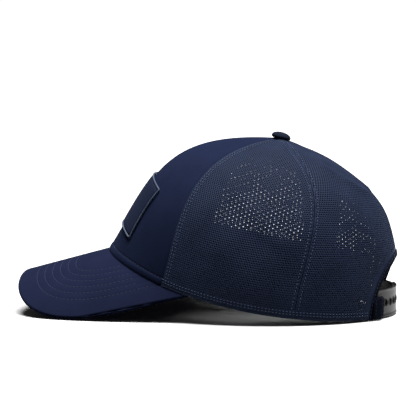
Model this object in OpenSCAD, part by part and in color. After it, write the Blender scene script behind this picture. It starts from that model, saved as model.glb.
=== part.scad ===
// Five-panel mesh-back cap with a curved visor and a snap closure.
// Millimetres. +Z up, the visor points along -Y, the wearer's left is +X.
// The origin is the middle of the head opening, on the plane the cap rests on.

/* [Head opening] */
// Half of the opening's length, from the middle to the brow
opening_half_length = 104.5; // [102:0.5:107]
// Half of the opening's width
opening_half_width = 84; // [82:0.5:86]
// How much wider the back of the opening is than the front
opening_egg = 0.02; // [0:0.01:0.04]

/* [Crown] */
// Height of the apex above the table
crown_height = 125; // [120:0.5:130]
// Distance of the apex behind the middle of the opening
apex_back = 20.5; // [18:0.5:24]
// Lean of the front panel, where 90 stands upright
front_lean = 122; // [116:1:125]
// Lean of the side panels
side_lean = 86; // [84:1:90]
// Lean of the rear panels
rear_lean = 86; // [84:1:90]
// Angle round the rim of the seam between front and side panels
front_seam_angle = 118; // [114:1:120]
// Angle round the rim of the seam between side and rear panels
rear_seam_angle = 68; // [64:1:72]
// Thickness of the mesh cloth
mesh_thick = 0.8; // [0.6:0.1:0.8]
// Thickness of the front cloth
front_thick = 0.9; // [0.7:0.1:0.9]
// Height of the sweatband
band_height = 38; // [32:1:42]

/* [Visor] */
// Height of the visor's top at the middle of the brow
brow_z = 44.4; // [44.3:0.1:46]
// Rise of the visor towards the crown, per millimetre
visor_slope = 0.275; // [0.26:0.005:0.28]
// Radius to which the visor is bent across its width
visor_bend_r = 91; // [91:1:96]
// Half of the visor's width, measured round the bend
visor_half_width = 92.5; // [90:0.5:93]
// Reach of the visor's tip beyond its straight sides
visor_reach = 106; // [98:0.5:106]
// Total thickness of the visor
visor_thick = 3.4; // [3:0.1:3.6]

/* [Rear arch] */
// Half of the arch's width, as an angle round the rim
arch_foot_angle = 30.5; // [29:0.5:31]
// Height of the arch
arch_height = 42.5; // [40:0.5:45]

/* [Snap closure] */
// Radius of the hole strap's outer face
strap_r = 61.5; // [61:0.1:61.5]
// Height of a strap
strap_height = 20; // [18:0.5:20]
// Thickness of a strap
strap_thick = 1.2; // [1:0.1:1.2]
// Distance between neighbouring holes
hole_pitch = 7.5; // [7.3:0.1:7.6]
// Radius of a hole
hole_r = 2.4; // [2.35:0.05:2.5]
// Radius of a peg
peg_r = 1.6; // [1.4:0.1:1.6]

/* [Patch and button] */
// Width of the front patch
patch_width = 82; // [70:1:84]
// Height of the patch's lower corners above the table
patch_low = 56; // [54:0.5:57]
// Height of the patch's upper corners above the table
patch_high = 88.5; // [84:0.5:90]
// How much higher the middle of its edges stands than their corners
patch_bow = 9; // [4:0.5:10]
// Radius of the top button
button_r = 7; // [6:0.5:8]

/* [Hidden] */

navy = [0.12, 0.15, 0.24];
navy_mesh = [0.16, 0.2, 0.3];
navy_dark = [0.07, 0.09, 0.13];
bead_blue = [0.36, 0.45, 0.6];
board_white = [0.8, 0.8, 0.78];
buckram_black = [0.08, 0.08, 0.09];
smoke_grey = [0.3, 0.3, 0.32];
tin = [0.6, 0.6, 0.62];

// Crown profile: how far the lower and upper handles of the curve reach, and the slope at the apex
front_pull = 64;
side_pull = 66;
rear_pull = 75;
front_shoulder = 86;
side_shoulder = 64;
rear_shoulder = 71;
front_crest = 0.06;
side_crest = -0.1;
rear_crest = -0.38;

// Where the visor ends on the rim, and where the rim comes down to the table
visor_end_y = -34;
rim_flat_y = 100;
visor_end_angle = acos(visor_end_y / opening_half_length);
visor_side_y = -62;
visor_power = 2.9;
visor_inset = 0.6;
visor_cover = 0.7;
visor_gap = 0.15;
board_inset = 2;

// Gap left between neighbouring panels, as an angle, and the fractions of height they span
seam_gap = 0.15;
panel_foot = 0.004;
panel_top = 0.986;
front_flare = 3.5;
rear_bow = 12;
panel_rows = 16;
round_sides = 48;

// Depths below the outer face of the crown
tape_depth = 1.1;
tape_thick = 0.5;
tape_half_width = 5.5;
hem_depth = 1.9;
hem_thick = 0.6;
hem_height = 6.5;
hem_start_angle = 34.5;
band_depth = 2.9;
band_thick = 1.1;
band_end_angle = 37;
stiffener_thick = 1.4;
stiffener_margin = 5;
stiffener_foot = 0.02;
stiffener_top = 0.8;

arch_power = 1.85;
arch_columns = 12;
hem_columns = 6;
binding_reach = 3.8;
binding_skin = 0.7;
binding_gap = 0.2;
binding_slack = 0.6;
tab_free_angle = 21.3;
tab_sewn_angle = 31;
tab_low = 0.8;
tab_high = 16.5;
tab_round = 3.5;
tab_skin = 0.8;

// Snap closure: its own arc stands behind the rim's middle
strap_centre_y = opening_half_length - 62.2;
strap_low = 0.6;
strap_gap = 0.4;
strap_rim = 0.3;
strap_rim_width = 1.5;
hinge_angle = 29;
hinge_slit = 0.15;
strap_root_angle = 42;
pitch_angle = hole_pitch / strap_r * 180 / PI;
hole_count = 7;
peg_count = 4;
first_hole_angle = 3.5 * pitch_angle;
end_margin = 5;
end_round = 0.56;
peg_proud = 0.4;

patch_depth = -0.3;
patch_thick = 1.3;
patch_corner = 1.2;
bead_r = 0.65;
bead_offset = 0.9;

button_tilt = 15;
button_lift = 0.35;
button_height = 5.2;
button_skirt = 1.6;
rivet_r = 1.4;
washer_r = 5.5;
washer_thick = 0.8;
washer_drop = 4.4;

// ---- The visor's surface and the rim ----

// The visor is a cylinder, sloping down towards its tip.
function visor_z(x, y) =
    brow_z + visor_slope * (y + opening_half_length)
    - visor_bend_r + sqrt(visor_bend_r * visor_bend_r - x * x);

function visor_normal(x, y) =
    let (up = [x / sqrt(visor_bend_r * visor_bend_r - x * x), -visor_slope, 1])
    up / norm(up);

// Angles go round from the back, 0, over the wearer's left, 90, to the brow, 180.
function rim_x(angle) = opening_half_width * sin(angle) * (1 + opening_egg * cos(angle));
function rim_y(angle) = opening_half_length * cos(angle);

visor_end_z = visor_z(rim_x(visor_end_angle), visor_end_y);

// The rim lies on the visor, then falls in a soft curve to the table behind it.
function rim_z(angle) =
    let (y = rim_y(angle))
    y < visor_end_y ? visor_z(rim_x(angle), y)
    : y < rim_flat_y ? visor_end_z * pow((rim_flat_y - y) / (rim_flat_y - visor_end_y), 2)
    : 0;

// ---- The crown's surface ----

function by_side(front, side, rear, angle) =
    let (
        c = cos(angle),
        to_front = c < 0 ? c * c : 0,
        to_rear = c > 0 ? c * c : 0
    )
    front * to_front + rear * to_rear + side * (1 - to_front - to_rear);

// A point of the outer face: round the rim by angle, and up a curve from rim, 0, to apex, 1.
function crown_point(angle, rise) =
    let (
        out_x = rim_x(angle),
        out_y = rim_y(angle) - apex_back,
        reach = norm([out_x, out_y]),
        foot_z = rim_z(angle),
        lean = by_side(front_lean, side_lean, rear_lean, angle),
        pull = by_side(front_pull, side_pull, rear_pull, angle),
        shoulder = by_side(front_shoulder, side_shoulder, rear_shoulder, angle),
        crest = by_side(front_crest, side_crest, rear_crest, angle),
        rest = 1 - rise,
        w0 = rest * rest * rest,
        w1 = 3 * rest * rest * rise,
        w2 = 3 * rest * rise * rise,
        w3 = rise * rise * rise,
        rho = w0 * reach + w1 * (reach + pull * cos(lean)) + w2 * shoulder,
        z = w0 * foot_z + w1 * (foot_z + pull * sin(lean))
            + w2 * (crown_height + crest * shoulder) + w3 * crown_height
    )
    [out_x / reach * rho, apex_back + out_y / reach * rho, z];

function crown_normal(angle, rise) =
    let (
        round_step = crown_point(angle + 0.5, rise) - crown_point(angle - 0.5, rise),
        up_step = crown_point(angle, rise + 0.004) - crown_point(angle, rise - 0.004),
        out = cross(up_step, round_step)
    )
    out / norm(out);

// The same point, that many millimetres below the outer face.
function crown_at(angle, rise, depth) = crown_point(angle, rise) - depth * crown_normal(angle, rise);

// How far up the curve a height above the table is reached.
function rise_at(angle, z, low = 0, high = 0.6, steps = 16) =
    let (middle = (low + high) / 2)
    steps == 0 ? middle
    : crown_point(angle, middle)[2] < z ? rise_at(angle, z, middle, high, steps - 1)
    : rise_at(angle, z, low, middle, steps - 1);

function front_seam(rise) = front_seam_angle + front_flare * pow(1 - rise, 8);
function rear_seam(rise) =
    let (s = pow(rise, 1.4))
    rear_seam_angle - rear_bow * 4 * s * (1 - s);

function mix(a, b, f) = a + (b - a) * f;
function ease(f) = let (g = min(max(f, 0), 1)) g * g * (3 - 2 * g);

// ---- Closed sheets and sweeps ----

// A closed sheet between two faces, each a function of two fractions.
module slab(front, back, columns, rows) {
    across = columns + 1;
    count = across * (rows + 1);
    points = concat(
        [for (j = [0:rows]) for (i = [0:columns]) front(i / columns, j / rows)],
        [for (j = [0:rows]) for (i = [0:columns]) back(i / columns, j / rows)]
    );
    function at(i, j) = j * across + i;
    skin = [for (j = [0:rows - 1]) for (i = [0:columns - 1])
        each [[at(i, j), at(i + 1, j), at(i + 1, j + 1)], [at(i, j), at(i + 1, j + 1), at(i, j + 1)]]];
    lining = [for (f = skin) [f[0] + count, f[2] + count, f[1] + count]];
    loop = concat(
        [for (i = [0:columns - 1]) at(i, 0)],
        [for (j = [0:rows - 1]) at(columns, j)],
        [for (i = [columns:-1:1]) at(i, rows)],
        [for (j = [rows:-1:1]) at(0, j)]
    );
    edge = [for (k = [0:len(loop) - 1])
        let (a = loop[k], b = loop[(k + 1) % len(loop)])
        each [[a, a + count, b + count], [a, b + count, b]]];
    polyhedron(points = points, faces = concat(skin, lining, edge), convexity = 8);
}

// A sheet of the crown: place(u, v) gives its angle and rise.
module crown_sheet(place, columns, rows, depth, thick) {
    slab(
        function(u, v) let (p = place(u, v)) crown_at(p[0], p[1], depth),
        function(u, v) let (p = place(u, v)) crown_at(p[0], p[1], depth + thick),
        columns, rows
    );
}

// A closed sweep through rings of equal length. The ends meet when ring_shut is true.
module sweep(rings, ring_shut = false) {
    sides = len(rings[0]);
    spans = ring_shut ? len(rings) : len(rings) - 1;
    function at(i, k) = (i % len(rings)) * sides + k % sides;
    walls = [for (i = [0:spans - 1]) for (k = [0:sides - 1])
        each [[at(i, k), at(i, k + 1), at(i + 1, k + 1)], [at(i, k), at(i + 1, k + 1), at(i + 1, k)]]];
    first = [for (k = [sides - 1:-1:0]) k];
    last = [for (k = [0:sides - 1]) at(len(rings) - 1, k)];
    polyhedron(
        points = [for (ring = rings) each ring],
        faces = ring_shut ? walls : concat(walls, [first, last]),
        convexity = 8
    );
}

// ---- Panels ----

module front_panel() {
    color(navy)
        crown_sheet(
            function(u, v) let (rise = mix(panel_foot, panel_top, v), edge = front_seam(rise) + seam_gap)
                [mix(edge, 360 - edge, u), rise],
            22, panel_rows, 0, front_thick
        );
}

module front_stiffener() {
    color(buckram_black)
        crown_sheet(
            function(u, v)
                let (
                    rise = mix(stiffener_foot, stiffener_top, v),
                    edge = front_seam(rise) + stiffener_margin / (1 - 0.6 * rise)
                )
                [mix(edge, 360 - edge, u), rise],
            18, 12, front_thick + 0.2, stiffener_thick
        );
}

module side_mesh() {
    color(navy_mesh)
        crown_sheet(
            function(u, v) let (rise = mix(panel_foot, panel_top, v))
                [mix(rear_seam(rise) + seam_gap, front_seam(rise) - seam_gap, u), rise],
            12, panel_rows, 0, mesh_thick
        );
}

// The arch's edge, from its foot on the wearer's left, 0, over the top, to the other foot, 1.
arch_rise = rise_at(0, arch_height);
function arch_place(f) =
    let (c = cos(180 * f), s = sin(180 * f))
    [arch_foot_angle * sign(c) * pow(abs(c), 2 / arch_power), arch_rise * pow(abs(s), 2 / arch_power)];

// The lower edge of a rear panel: down the arch, then along the hem to the seam.
function rear_foot(column) =
    column <= arch_columns
    ? let (p = arch_place(0.5 - 0.5 * column / arch_columns)) [p[0] / rear_seam(p[1]), p[1]]
    : [mix(arch_foot_angle / rear_seam(0), 1, (column - arch_columns) / hem_columns), 0];

module rear_mesh() {
    columns = arch_columns + hem_columns;
    color(navy_mesh)
        crown_sheet(
            function(u, v)
                let (
                    foot = rear_foot(round(u * columns)),
                    rise = mix(foot[1], panel_top, v),
                    share = mix(foot[0], u, v)
                )
                [mix(seam_gap, rear_seam(rise) - seam_gap, share), rise],
            columns, panel_rows, 0, mesh_thick
        );
}

// ---- Inside the crown ----

module hem_strip() {
    color(navy_dark)
        crown_sheet(
            function(u, v)
                let (angle = mix(hem_start_angle, front_seam(0), u))
                [angle, mix(panel_foot, rise_at(angle, rim_z(angle) + hem_height), v)],
            18, 1, hem_depth, hem_thick
        );
}

// A tape over the seam whose angle is seam(rise), narrowing towards the apex.
module seam_tape(seam, foot) {
    color(navy_dark)
        crown_sheet(
            function(u, v)
                let (
                    rise = mix(foot, panel_top, v),
                    middle = seam(rise),
                    p = crown_point(middle, rise),
                    reach = norm([p[0], p[1] - apex_back]),
                    half = min(tape_half_width / reach * 180 / PI, 28)
                )
                [middle + mix(-half, half, u), rise],
            2, panel_rows, tape_depth, tape_thick
        );
}

module sweatband() {
    color(navy_dark)
        crown_sheet(
            function(u, v)
                let (angle = mix(band_end_angle, 360 - band_end_angle, u))
                [angle, mix(panel_foot, rise_at(angle, rim_z(angle) + band_height), v)],
            48, 3, band_depth, band_thick
        );
}

// ---- Visor ----

// The visor's top face, with u across it and v from the crown to its outer edge,
// which lies that many millimetres inside the visor's outline.
function visor_place(u, v, inset) =
    let (
        end_angle = visor_end_angle + inset,
        angle = mix(360 - end_angle, end_angle, u),
        inner = [rim_x(angle), rim_y(angle)] * (1 - visor_inset / opening_half_width),
        b = mix(-90, 90, u),
        width = (visor_half_width - inset) * sign(b) * pow(abs(sin(b)), 2 / visor_power),
        outer = [
            visor_bend_r * sin(width / visor_bend_r * 180 / PI),
            visor_side_y - inset - (visor_reach - 2 * inset) * pow(cos(b), 2 / visor_power)
        ],
        p = mix(inner, outer, v)
    )
    [p[0], p[1], visor_z(p[0], p[1])];

module visor_layer(depth, thick, inset) {
    slab(
        function(u, v)
            let (p = visor_place(u, v, inset)) p - depth * visor_normal(p[0], p[1]),
        function(u, v)
            let (p = visor_place(u, v, inset)) p - (depth + thick) * visor_normal(p[0], p[1]),
        28, 6
    );
}

module visor_top_cover() {
    color(navy) visor_layer(0, visor_cover, 0);
}

module visor_board() {
    thick = visor_thick - 2 * visor_cover - 2 * visor_gap;
    color(board_white) visor_layer(visor_cover + visor_gap, thick, board_inset);
}

module visor_under_cover() {
    color(navy) visor_layer(visor_thick - visor_cover, visor_cover, 0);
}

// ---- Rear arch and closure ----

// The binding wraps the arch's edge: its ring of eight points goes round the cloth.
module arch_binding() {
    stations = 2 * arch_columns;
    outside = -binding_gap;
    inside = mesh_thick + binding_slack;
    ring = [
        [binding_reach, outside], [binding_reach, outside - binding_skin],
        [-binding_skin - binding_gap, outside - binding_skin],
        [-binding_skin - binding_gap, inside + binding_skin],
        [binding_reach, inside + binding_skin], [binding_reach, inside],
        [-binding_gap, inside], [-binding_gap, outside]
    ];
    rings = [for (i = [0:stations])
        let (
            f = i / stations,
            here = arch_place(f),
            before = arch_place(max(f - 0.01, 0)),
            after = arch_place(min(f + 0.01, 1)),
            along = crown_point(after[0], after[1]) - crown_point(before[0], before[1]),
            out = crown_normal(here[0], here[1]),
            side = cross(out, along) / norm(along),
            p = crown_point(here[0], here[1])
        )
        [for (k = [len(ring) - 1:-1:0]) p + side * ring[k][0] - out * ring[k][1]]];
    color(navy_dark) sweep(rings);
}

// The tab lies on the binding, and drops over the arch's edge onto the strap.
module tab() {
    color(navy_dark)
        slab(
            function(u, v) tab_point(u, v, 0),
            function(u, v) tab_point(u, v, tab_skin),
            8, 5
        );
}

function tab_point(u, v, below) =
    let (
        angle = mix(tab_free_angle, tab_sewn_angle, u),
        shoulder = tab_round * (1 - sqrt(max(1 - pow(abs(2 * u - 1), 4), 0))),
        z = mix(tab_low, tab_high - shoulder, v),
        drop = 1 - ease((angle - 23) / 3),
        top = mix(-1.95, 0.3, drop)
    )
    crown_at(angle, rise_at(angle, z), top + below);

// A band of the closure's arc between two angles from the rear middle, towards +X.
module strap_band(from, to, outer_r, rim) {
    high = strap_low + strap_height;
    profile = [
        [outer_r - strap_thick, strap_low], [outer_r + rim, strap_low],
        [outer_r + rim, strap_low + strap_rim_width], [outer_r, strap_low + strap_rim_width],
        [outer_r, high - strap_rim_width], [outer_r + rim, high - strap_rim_width],
        [outer_r + rim, high], [outer_r - strap_thick, high]
    ];
    plain = [
        [outer_r - strap_thick, strap_low], [outer_r, strap_low],
        [outer_r, high], [outer_r - strap_thick, high]
    ];
    rotate([0, 0, 90 - to])
        rotate_extrude(angle = to - from, $fn = round_sides)
            polygon(rim > 0 ? profile : plain);
}

// A radial bar at an angle, through the middle of the strap's height.
module radial_bar(angle, r, from_r, to_r) {
    rotate([0, 0, 90 - angle])
        translate([from_r, 0, strap_low + strap_height / 2])
            rotate([0, 90, 0])
                cylinder(r = r, h = to_r - from_r, $fn = round_sides);
}

// A strap from its hinge line to a round free end.
module strap_arm(free_angle, outer_r, rim) {
    end_r = strap_height * end_round;
    end_centre = free_angle + end_r / outer_r * 180 / PI;
    far = 2 * strap_r;
    from = hinge_angle - hinge_slit / outer_r * 180 / PI;
    intersection() {
        strap_band(free_angle - 5, from, outer_r, rim);
        union() {
            radial_bar(end_centre, end_r, outer_r - 10, outer_r + 10);
            translate([0, 0, strap_low - 1])
                linear_extrude(strap_height + 2)
                    polygon([
                        [0, 0],
                        [far * sin(end_centre), far * cos(end_centre)],
                        [far * sin(hinge_angle + 5), far * cos(hinge_angle + 5)]
                    ]);
        }
    }
}

module hole_strap() {
    last = first_hole_angle - (hole_count - 1) * pitch_angle;
    color(smoke_grey)
        translate([0, strap_centre_y, 0])
            difference() {
                strap_arm(last - end_margin, strap_r, strap_rim);
                for (i = [0:hole_count - 1])
                    radial_bar(first_hole_angle - i * pitch_angle, hole_r, strap_r - 4, strap_r + 4);
            }
}

module strap_root(outer_r, rim) {
    slit = hinge_slit / outer_r * 180 / PI;
    color(smoke_grey)
        translate([0, strap_centre_y, 0])
            strap_band(hinge_angle + slit, strap_root_angle, outer_r, rim);
}

peg_strap_r = strap_r - strap_thick - strap_gap;

// Built on the wearer's left and mirrored, so that both straps share one module.
module peg_strap() {
    last = first_hole_angle - (peg_count - 1) * pitch_angle;
    peg_top = strap_r + peg_proud;
    color(smoke_grey)
        mirror([1, 0, 0])
            translate([0, strap_centre_y, 0])
                union() {
                    strap_arm(last - end_margin, peg_strap_r, 0);
                    for (i = [0:peg_count - 1])
                        radial_bar(first_hole_angle - i * pitch_angle, peg_r, peg_strap_r - 0.6, peg_top);
                }
}

// ---- Patch ----

// Angle and rise of the crown's point at that x and z on the front panel.
function front_place(x, z, angle = undef, steps = 5) =
    let (
        here = is_undef(angle) ? 180 - asin(x / opening_half_width) : angle,
        rise = rise_at(here, z),
        p = crown_point(here, rise)
    )
    steps == 0 || abs(x) < 0.01 ? [here, rise]
    : front_place(x, z, 180 - asin(x * sin(here) / p[0]), steps - 1);

// The same place on the patch, whose level lines bow upwards at the middle.
function patch_place(x, z) = front_place(x, z + patch_bow * (1 - pow(2 * x / patch_width, 2)));

module front_patch() {
    half = patch_width / 2;
    color(navy)
        crown_sheet(
            function(u, v) patch_place(mix(half, -half, u), mix(patch_low, patch_high, v)),
            14, 6, patch_depth - patch_thick, patch_thick
        );
}

// The outline of the patch's bead: a rectangle with round corners, as [x, z].
function bead_outline() =
    let (
        half_w = patch_width / 2 + bead_offset - patch_corner,
        half_h = (patch_high - patch_low) / 2 + bead_offset - patch_corner,
        middle = (patch_high + patch_low) / 2
    )
    [for (side = [0:3])
        let (
            sx = side == 0 || side == 3 ? 1 : -1,
            sz = side < 2 ? 1 : -1,
            flat = side % 2 == 0 ? 8 : 4,
            next_x = side % 2 == 0 ? -sx : sx,
            next_z = side % 2 == 0 ? sz : -sz
        )
        each concat(
            [for (a = [0, 45, 90]) [
                sx * half_w + patch_corner * cos(90 * side + a),
                middle + sz * half_h + patch_corner * sin(90 * side + a)
            ]],
            [for (k = [1:flat - 1]) [
                mix(sx * half_w, next_x * half_w, k / flat)
                    + (side % 2 == 0 ? 0 : sx * patch_corner),
                middle + mix(sz * half_h, next_z * half_h, k / flat)
                    + (side % 2 == 0 ? sz * patch_corner : 0)
            ]]
        )];

module patch_bead() {
    outline = bead_outline();
    count = len(outline);
    bead_depth = patch_depth - bead_r - 0.2;
    places = [for (p = outline) patch_place(p[0], p[1])];
    centres = [for (p = places) crown_at(p[0], p[1], bead_depth)];
    rings = [for (i = [0:count - 1])
        let (
            along = centres[(i + 1) % count] - centres[(i + count - 1) % count],
            out = crown_normal(places[i][0], places[i][1]),
            side = cross(along, out) / norm(along)
        )
        [for (a = [0:60:300]) centres[i] + bead_r * (cos(a) * side + sin(a) * out)]];
    color(bead_blue) sweep(rings, true);
}

// ---- Button ----

module at_apex() {
    translate([0, apex_back, crown_height])
        rotate([-button_tilt, 0, 0])
            children();
}

module top_button() {
    steps = 6;
    dome = button_height - button_skirt;
    color(navy_mesh)
        at_apex()
            translate([0, 0, button_lift])
                rotate_extrude($fn = round_sides)
                    polygon(concat(
                        [[0, 0], [button_r - 0.8, 0], [button_r, button_skirt]],
                        [for (k = [1:steps - 1])
                            [button_r * cos(90 * k / steps), button_skirt + dome * sin(90 * k / steps)]],
                        [[0, button_height]]
                    ));
}

module button_rivet() {
    color(tin)
        at_apex()
            translate([0, 0, -washer_drop])
                union() {
                    cylinder(r = washer_r, h = washer_thick, $fn = round_sides);
                    cylinder(r = rivet_r, h = washer_drop + button_lift, $fn = round_sides);
                }
}

front_panel();
front_stiffener();
side_mesh();  // left_side_mesh
mirror([1, 0, 0]) side_mesh();  // right_side_mesh
rear_mesh();  // left_rear_mesh
mirror([1, 0, 0]) rear_mesh();  // right_rear_mesh
hem_strip();  // left_hem_strip
mirror([1, 0, 0]) hem_strip();  // right_hem_strip
seam_tape(function(r) front_seam(r), panel_foot);  // front_left_tape
mirror([1, 0, 0]) seam_tape(function(r) front_seam(r), panel_foot);  // front_right_tape
seam_tape(function(r) rear_seam(r), panel_foot);  // rear_left_tape
mirror([1, 0, 0]) seam_tape(function(r) rear_seam(r), panel_foot);  // rear_right_tape
seam_tape(function(r) 0, arch_rise + 0.035);  // centre_back_tape
sweatband();
visor_top_cover();
visor_board();
visor_under_cover();
arch_binding();
tab();  // left_tab
mirror([1, 0, 0]) tab();  // right_tab
strap_root(strap_r, strap_rim);  // hole_strap_root
hole_strap();
mirror([1, 0, 0]) strap_root(peg_strap_r, 0);  // peg_strap_root
peg_strap();
front_patch();
patch_bead();
top_button();
button_rivet();
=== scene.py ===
# %% [markdown]
# # A mesh-back cap with a curved visor
# This lesson dresses the solid model of a five-panel cap: a cloth front, four gores of knitted
# mesh, a stitched visor, a patch with a satin edge and a plastic snap closure. The solid model
# gives the frame, which never moves. Cloth, mesh and plastic are made around it, in metres.

# %% Load the frame
import math

import bmesh
import bpy
import numpy as np
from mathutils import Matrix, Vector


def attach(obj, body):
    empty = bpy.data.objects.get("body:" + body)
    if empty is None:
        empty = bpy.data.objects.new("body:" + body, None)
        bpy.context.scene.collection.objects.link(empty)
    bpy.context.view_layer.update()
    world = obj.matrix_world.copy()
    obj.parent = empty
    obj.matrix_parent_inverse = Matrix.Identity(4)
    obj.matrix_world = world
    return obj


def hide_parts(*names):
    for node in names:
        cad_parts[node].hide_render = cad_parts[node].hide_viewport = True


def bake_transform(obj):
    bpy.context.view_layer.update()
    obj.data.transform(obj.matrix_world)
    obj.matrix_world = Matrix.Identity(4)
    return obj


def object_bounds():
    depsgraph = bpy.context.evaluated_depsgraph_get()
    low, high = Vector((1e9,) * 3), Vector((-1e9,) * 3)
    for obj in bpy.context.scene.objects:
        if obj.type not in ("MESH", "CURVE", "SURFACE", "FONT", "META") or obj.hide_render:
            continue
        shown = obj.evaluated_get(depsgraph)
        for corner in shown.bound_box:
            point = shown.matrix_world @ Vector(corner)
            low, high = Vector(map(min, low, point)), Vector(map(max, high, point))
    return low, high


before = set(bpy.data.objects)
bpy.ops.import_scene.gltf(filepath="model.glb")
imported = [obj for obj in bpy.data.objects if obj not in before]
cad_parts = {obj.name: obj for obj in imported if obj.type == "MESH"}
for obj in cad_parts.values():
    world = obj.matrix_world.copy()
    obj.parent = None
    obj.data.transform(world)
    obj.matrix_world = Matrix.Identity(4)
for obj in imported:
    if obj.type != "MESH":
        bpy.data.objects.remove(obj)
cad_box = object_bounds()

# %% [markdown]
# ## The camera
# The cap is looked at from its left side, a little from behind and just above the table, from
# 1.4 m away with a long lens, so that the sides hardly converge. The middle of the model's own
# box says where the camera aims.

# %% Place the camera
def direction(azimuth, elevation):
    """The way from the object to a camera at that azimuth and elevation, in degrees."""
    a, e = math.radians(azimuth), math.radians(elevation)
    return np.array([math.sin(a) * math.cos(e), -math.cos(a) * math.cos(e), math.sin(e)])


def look(distance, azimuth, elevation, aim, lens):
    back = direction(azimuth, elevation)
    data = bpy.data.cameras.new("camera")
    data.lens, data.sensor_width, data.clip_end = lens, 36, 100
    camera = bpy.data.objects.new("camera", data)
    bpy.context.scene.collection.objects.link(camera)
    camera.location = aim + back * distance
    camera.rotation_euler = (math.radians(90 - elevation), 0, math.radians(azimuth))
    bpy.context.scene.camera = camera
    return camera


box_middle = (np.array(cad_box[0]) + np.array(cad_box[1])) / 2
aim_from_middle = np.array([0, -0.0011, 0.0085])
camera_distance, camera_azimuth, camera_elevation, long_lens = 1.4, 99, 4.3, 167.2
camera = look(camera_distance, camera_azimuth, camera_elevation, box_middle + aim_from_middle, long_lens)
print("camera at", [round(v, 3) for v in camera.location], "box middle", box_middle.round(4))

# %% [markdown]
# ## The shape of the crown
# A cap's crown is sewn from flat gores, but once it is worn in, it is one smooth surface. Here
# a place on it has two numbers: an angle round the rim, from the back (0) over the wearer's
# left (90) to the brow (180), and a rise from the rim (0) to the apex (1). Each meridian is a
# Bezier curve, and its handles change gently from front to side to rear. The same rule made
# the solid model, so every layer drawn here lies on its solid.

# %% Sizes of the crown and the visor
opening_half_length, opening_half_width, opening_egg = 0.1045, 0.084, 0.02
crown_height, apex_back = 0.125, 0.0205
lean = (122, 86, 86)
pull = (0.064, 0.066, 0.075)
shoulder = (0.086, 0.064, 0.071)
crest = (0.06, -0.1, -0.38)
brow_z, visor_slope, visor_bend_r = 0.0444, 0.275, 0.091
visor_end_y, rim_flat_y = -0.034, 0.1
MM = 0.001


def rim_x(angle):
    """Across the rim, which is a little fuller behind than in front."""
    a = np.radians(angle)
    return opening_half_width * np.sin(a) * (1 + opening_egg * np.cos(a))


def rim_y(angle):
    return opening_half_length * np.cos(np.radians(angle))


def visor_z(x, y):
    """Height of the visor's top: a slope, bent to a round arc from side to side."""
    bend = np.sqrt(np.maximum(visor_bend_r**2 - x * x, 1e-12))
    return brow_z + visor_slope * (y + opening_half_length) - visor_bend_r + bend


visor_end_angle = math.degrees(math.acos(visor_end_y / opening_half_length))
visor_end_z = float(visor_z(rim_x(visor_end_angle), visor_end_y))


def rim_z(angle):
    """Height of the rim: flat behind, rising to the visor's ends, then along the visor."""
    y = rim_y(angle)
    fall = np.clip((rim_flat_y - y) / (rim_flat_y - visor_end_y), 0, None)
    return np.where(y < visor_end_y, visor_z(rim_x(angle), y), visor_end_z * fall**2)


def by_side(values, angle):
    """A value that goes from front to side to rear round the crown."""
    c = np.cos(np.radians(angle))
    to_front, to_rear = np.where(c < 0, c * c, 0), np.where(c > 0, c * c, 0)
    return values[0] * to_front + values[2] * to_rear + values[1] * (1 - to_front - to_rear)


def crown_point(angle, rise):
    """A point of the even crown: a Bezier meridian from the rim to the apex."""
    angle, rise = np.broadcast_arrays(np.asarray(angle, float), np.asarray(rise, float))
    out_x, out_y = rim_x(angle), rim_y(angle) - apex_back
    reach, foot = np.hypot(out_x, out_y), rim_z(angle)
    tilt, handle = np.radians(by_side(lean, angle)), by_side(pull, angle)
    top = by_side(shoulder, angle)
    rest = 1 - rise
    w0, w1, w2, w3 = rest**3, 3 * rest**2 * rise, 3 * rest * rise**2, rise**3
    rho = w0 * reach + w1 * (reach + handle * np.cos(tilt)) + w2 * top
    z = w0 * foot + w1 * (foot + handle * np.sin(tilt))
    z = z + w2 * (crown_height + by_side(crest, angle) * top) + w3 * crown_height
    return np.stack([out_x / reach * rho, apex_back + out_y / reach * rho, z], -1)


def unit(v):
    return v / np.maximum(np.linalg.norm(v, axis=-1, keepdims=True), 1e-12)


def crown_normal(angle, rise):
    round_step = crown_point(angle + 0.5, rise) - crown_point(angle - 0.5, rise)
    up_step = crown_point(angle, rise + 0.004) - crown_point(angle, rise - 0.004)
    return unit(np.cross(up_step, round_step))


print("rim heights", [round(float(rim_z(a)) / MM, 1) for a in (0, 60, 90, 120, 150, 180)], "mm")

# %% [markdown]
# ## How soft cloth departs from the pattern
# Limp mesh dips between its seams and keeps a soft crease where it was folded in its box. The
# front stays smooth, because buckram backs it. A height in metres is added along the normal
# for every layer alike, so that the layers never cut each other. A cloth simulation would
# sag the gores in a way that nothing steers. A rule puts the crease where the real one is.

# %% Dents and creases
front_seam_angle, front_flare = 118, 3.5
rear_seam_angle, rear_bow = 68, 12


def front_seam(rise):
    return front_seam_angle + front_flare * (1 - rise) ** 8


def rear_seam(rise):
    s = np.clip(rise, 0, 1) ** 1.4
    return rear_seam_angle - rear_bow * 4 * s * (1 - s)


metre_per_degree, slant_height, past_apex = 0.0013, 0.15, 1.1


def near_line(angle, rise, line, width):
    """1 on a line of (angle, rise) points, falling to 0 over a width in metres."""
    x = np.asarray(angle) * metre_per_degree * (past_apex - rise)
    y = np.asarray(rise) * slant_height
    nearest = np.full(np.shape(x + y), 1.0)
    points = [(a * metre_per_degree * (past_apex - r), r * slant_height) for a, r in line]
    for (ax, ay), (bx, by) in zip(points, points[1:]):
        span = (bx - ax) ** 2 + (by - ay) ** 2
        t = np.clip(((x - ax) * (bx - ax) + (y - ay) * (by - ay)) / span, 0, 1)
        nearest = np.minimum(nearest, np.hypot(x - ax - t * (bx - ax), y - ay - t * (by - ay)))
    return np.exp(-((nearest / width) ** 2))


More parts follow.
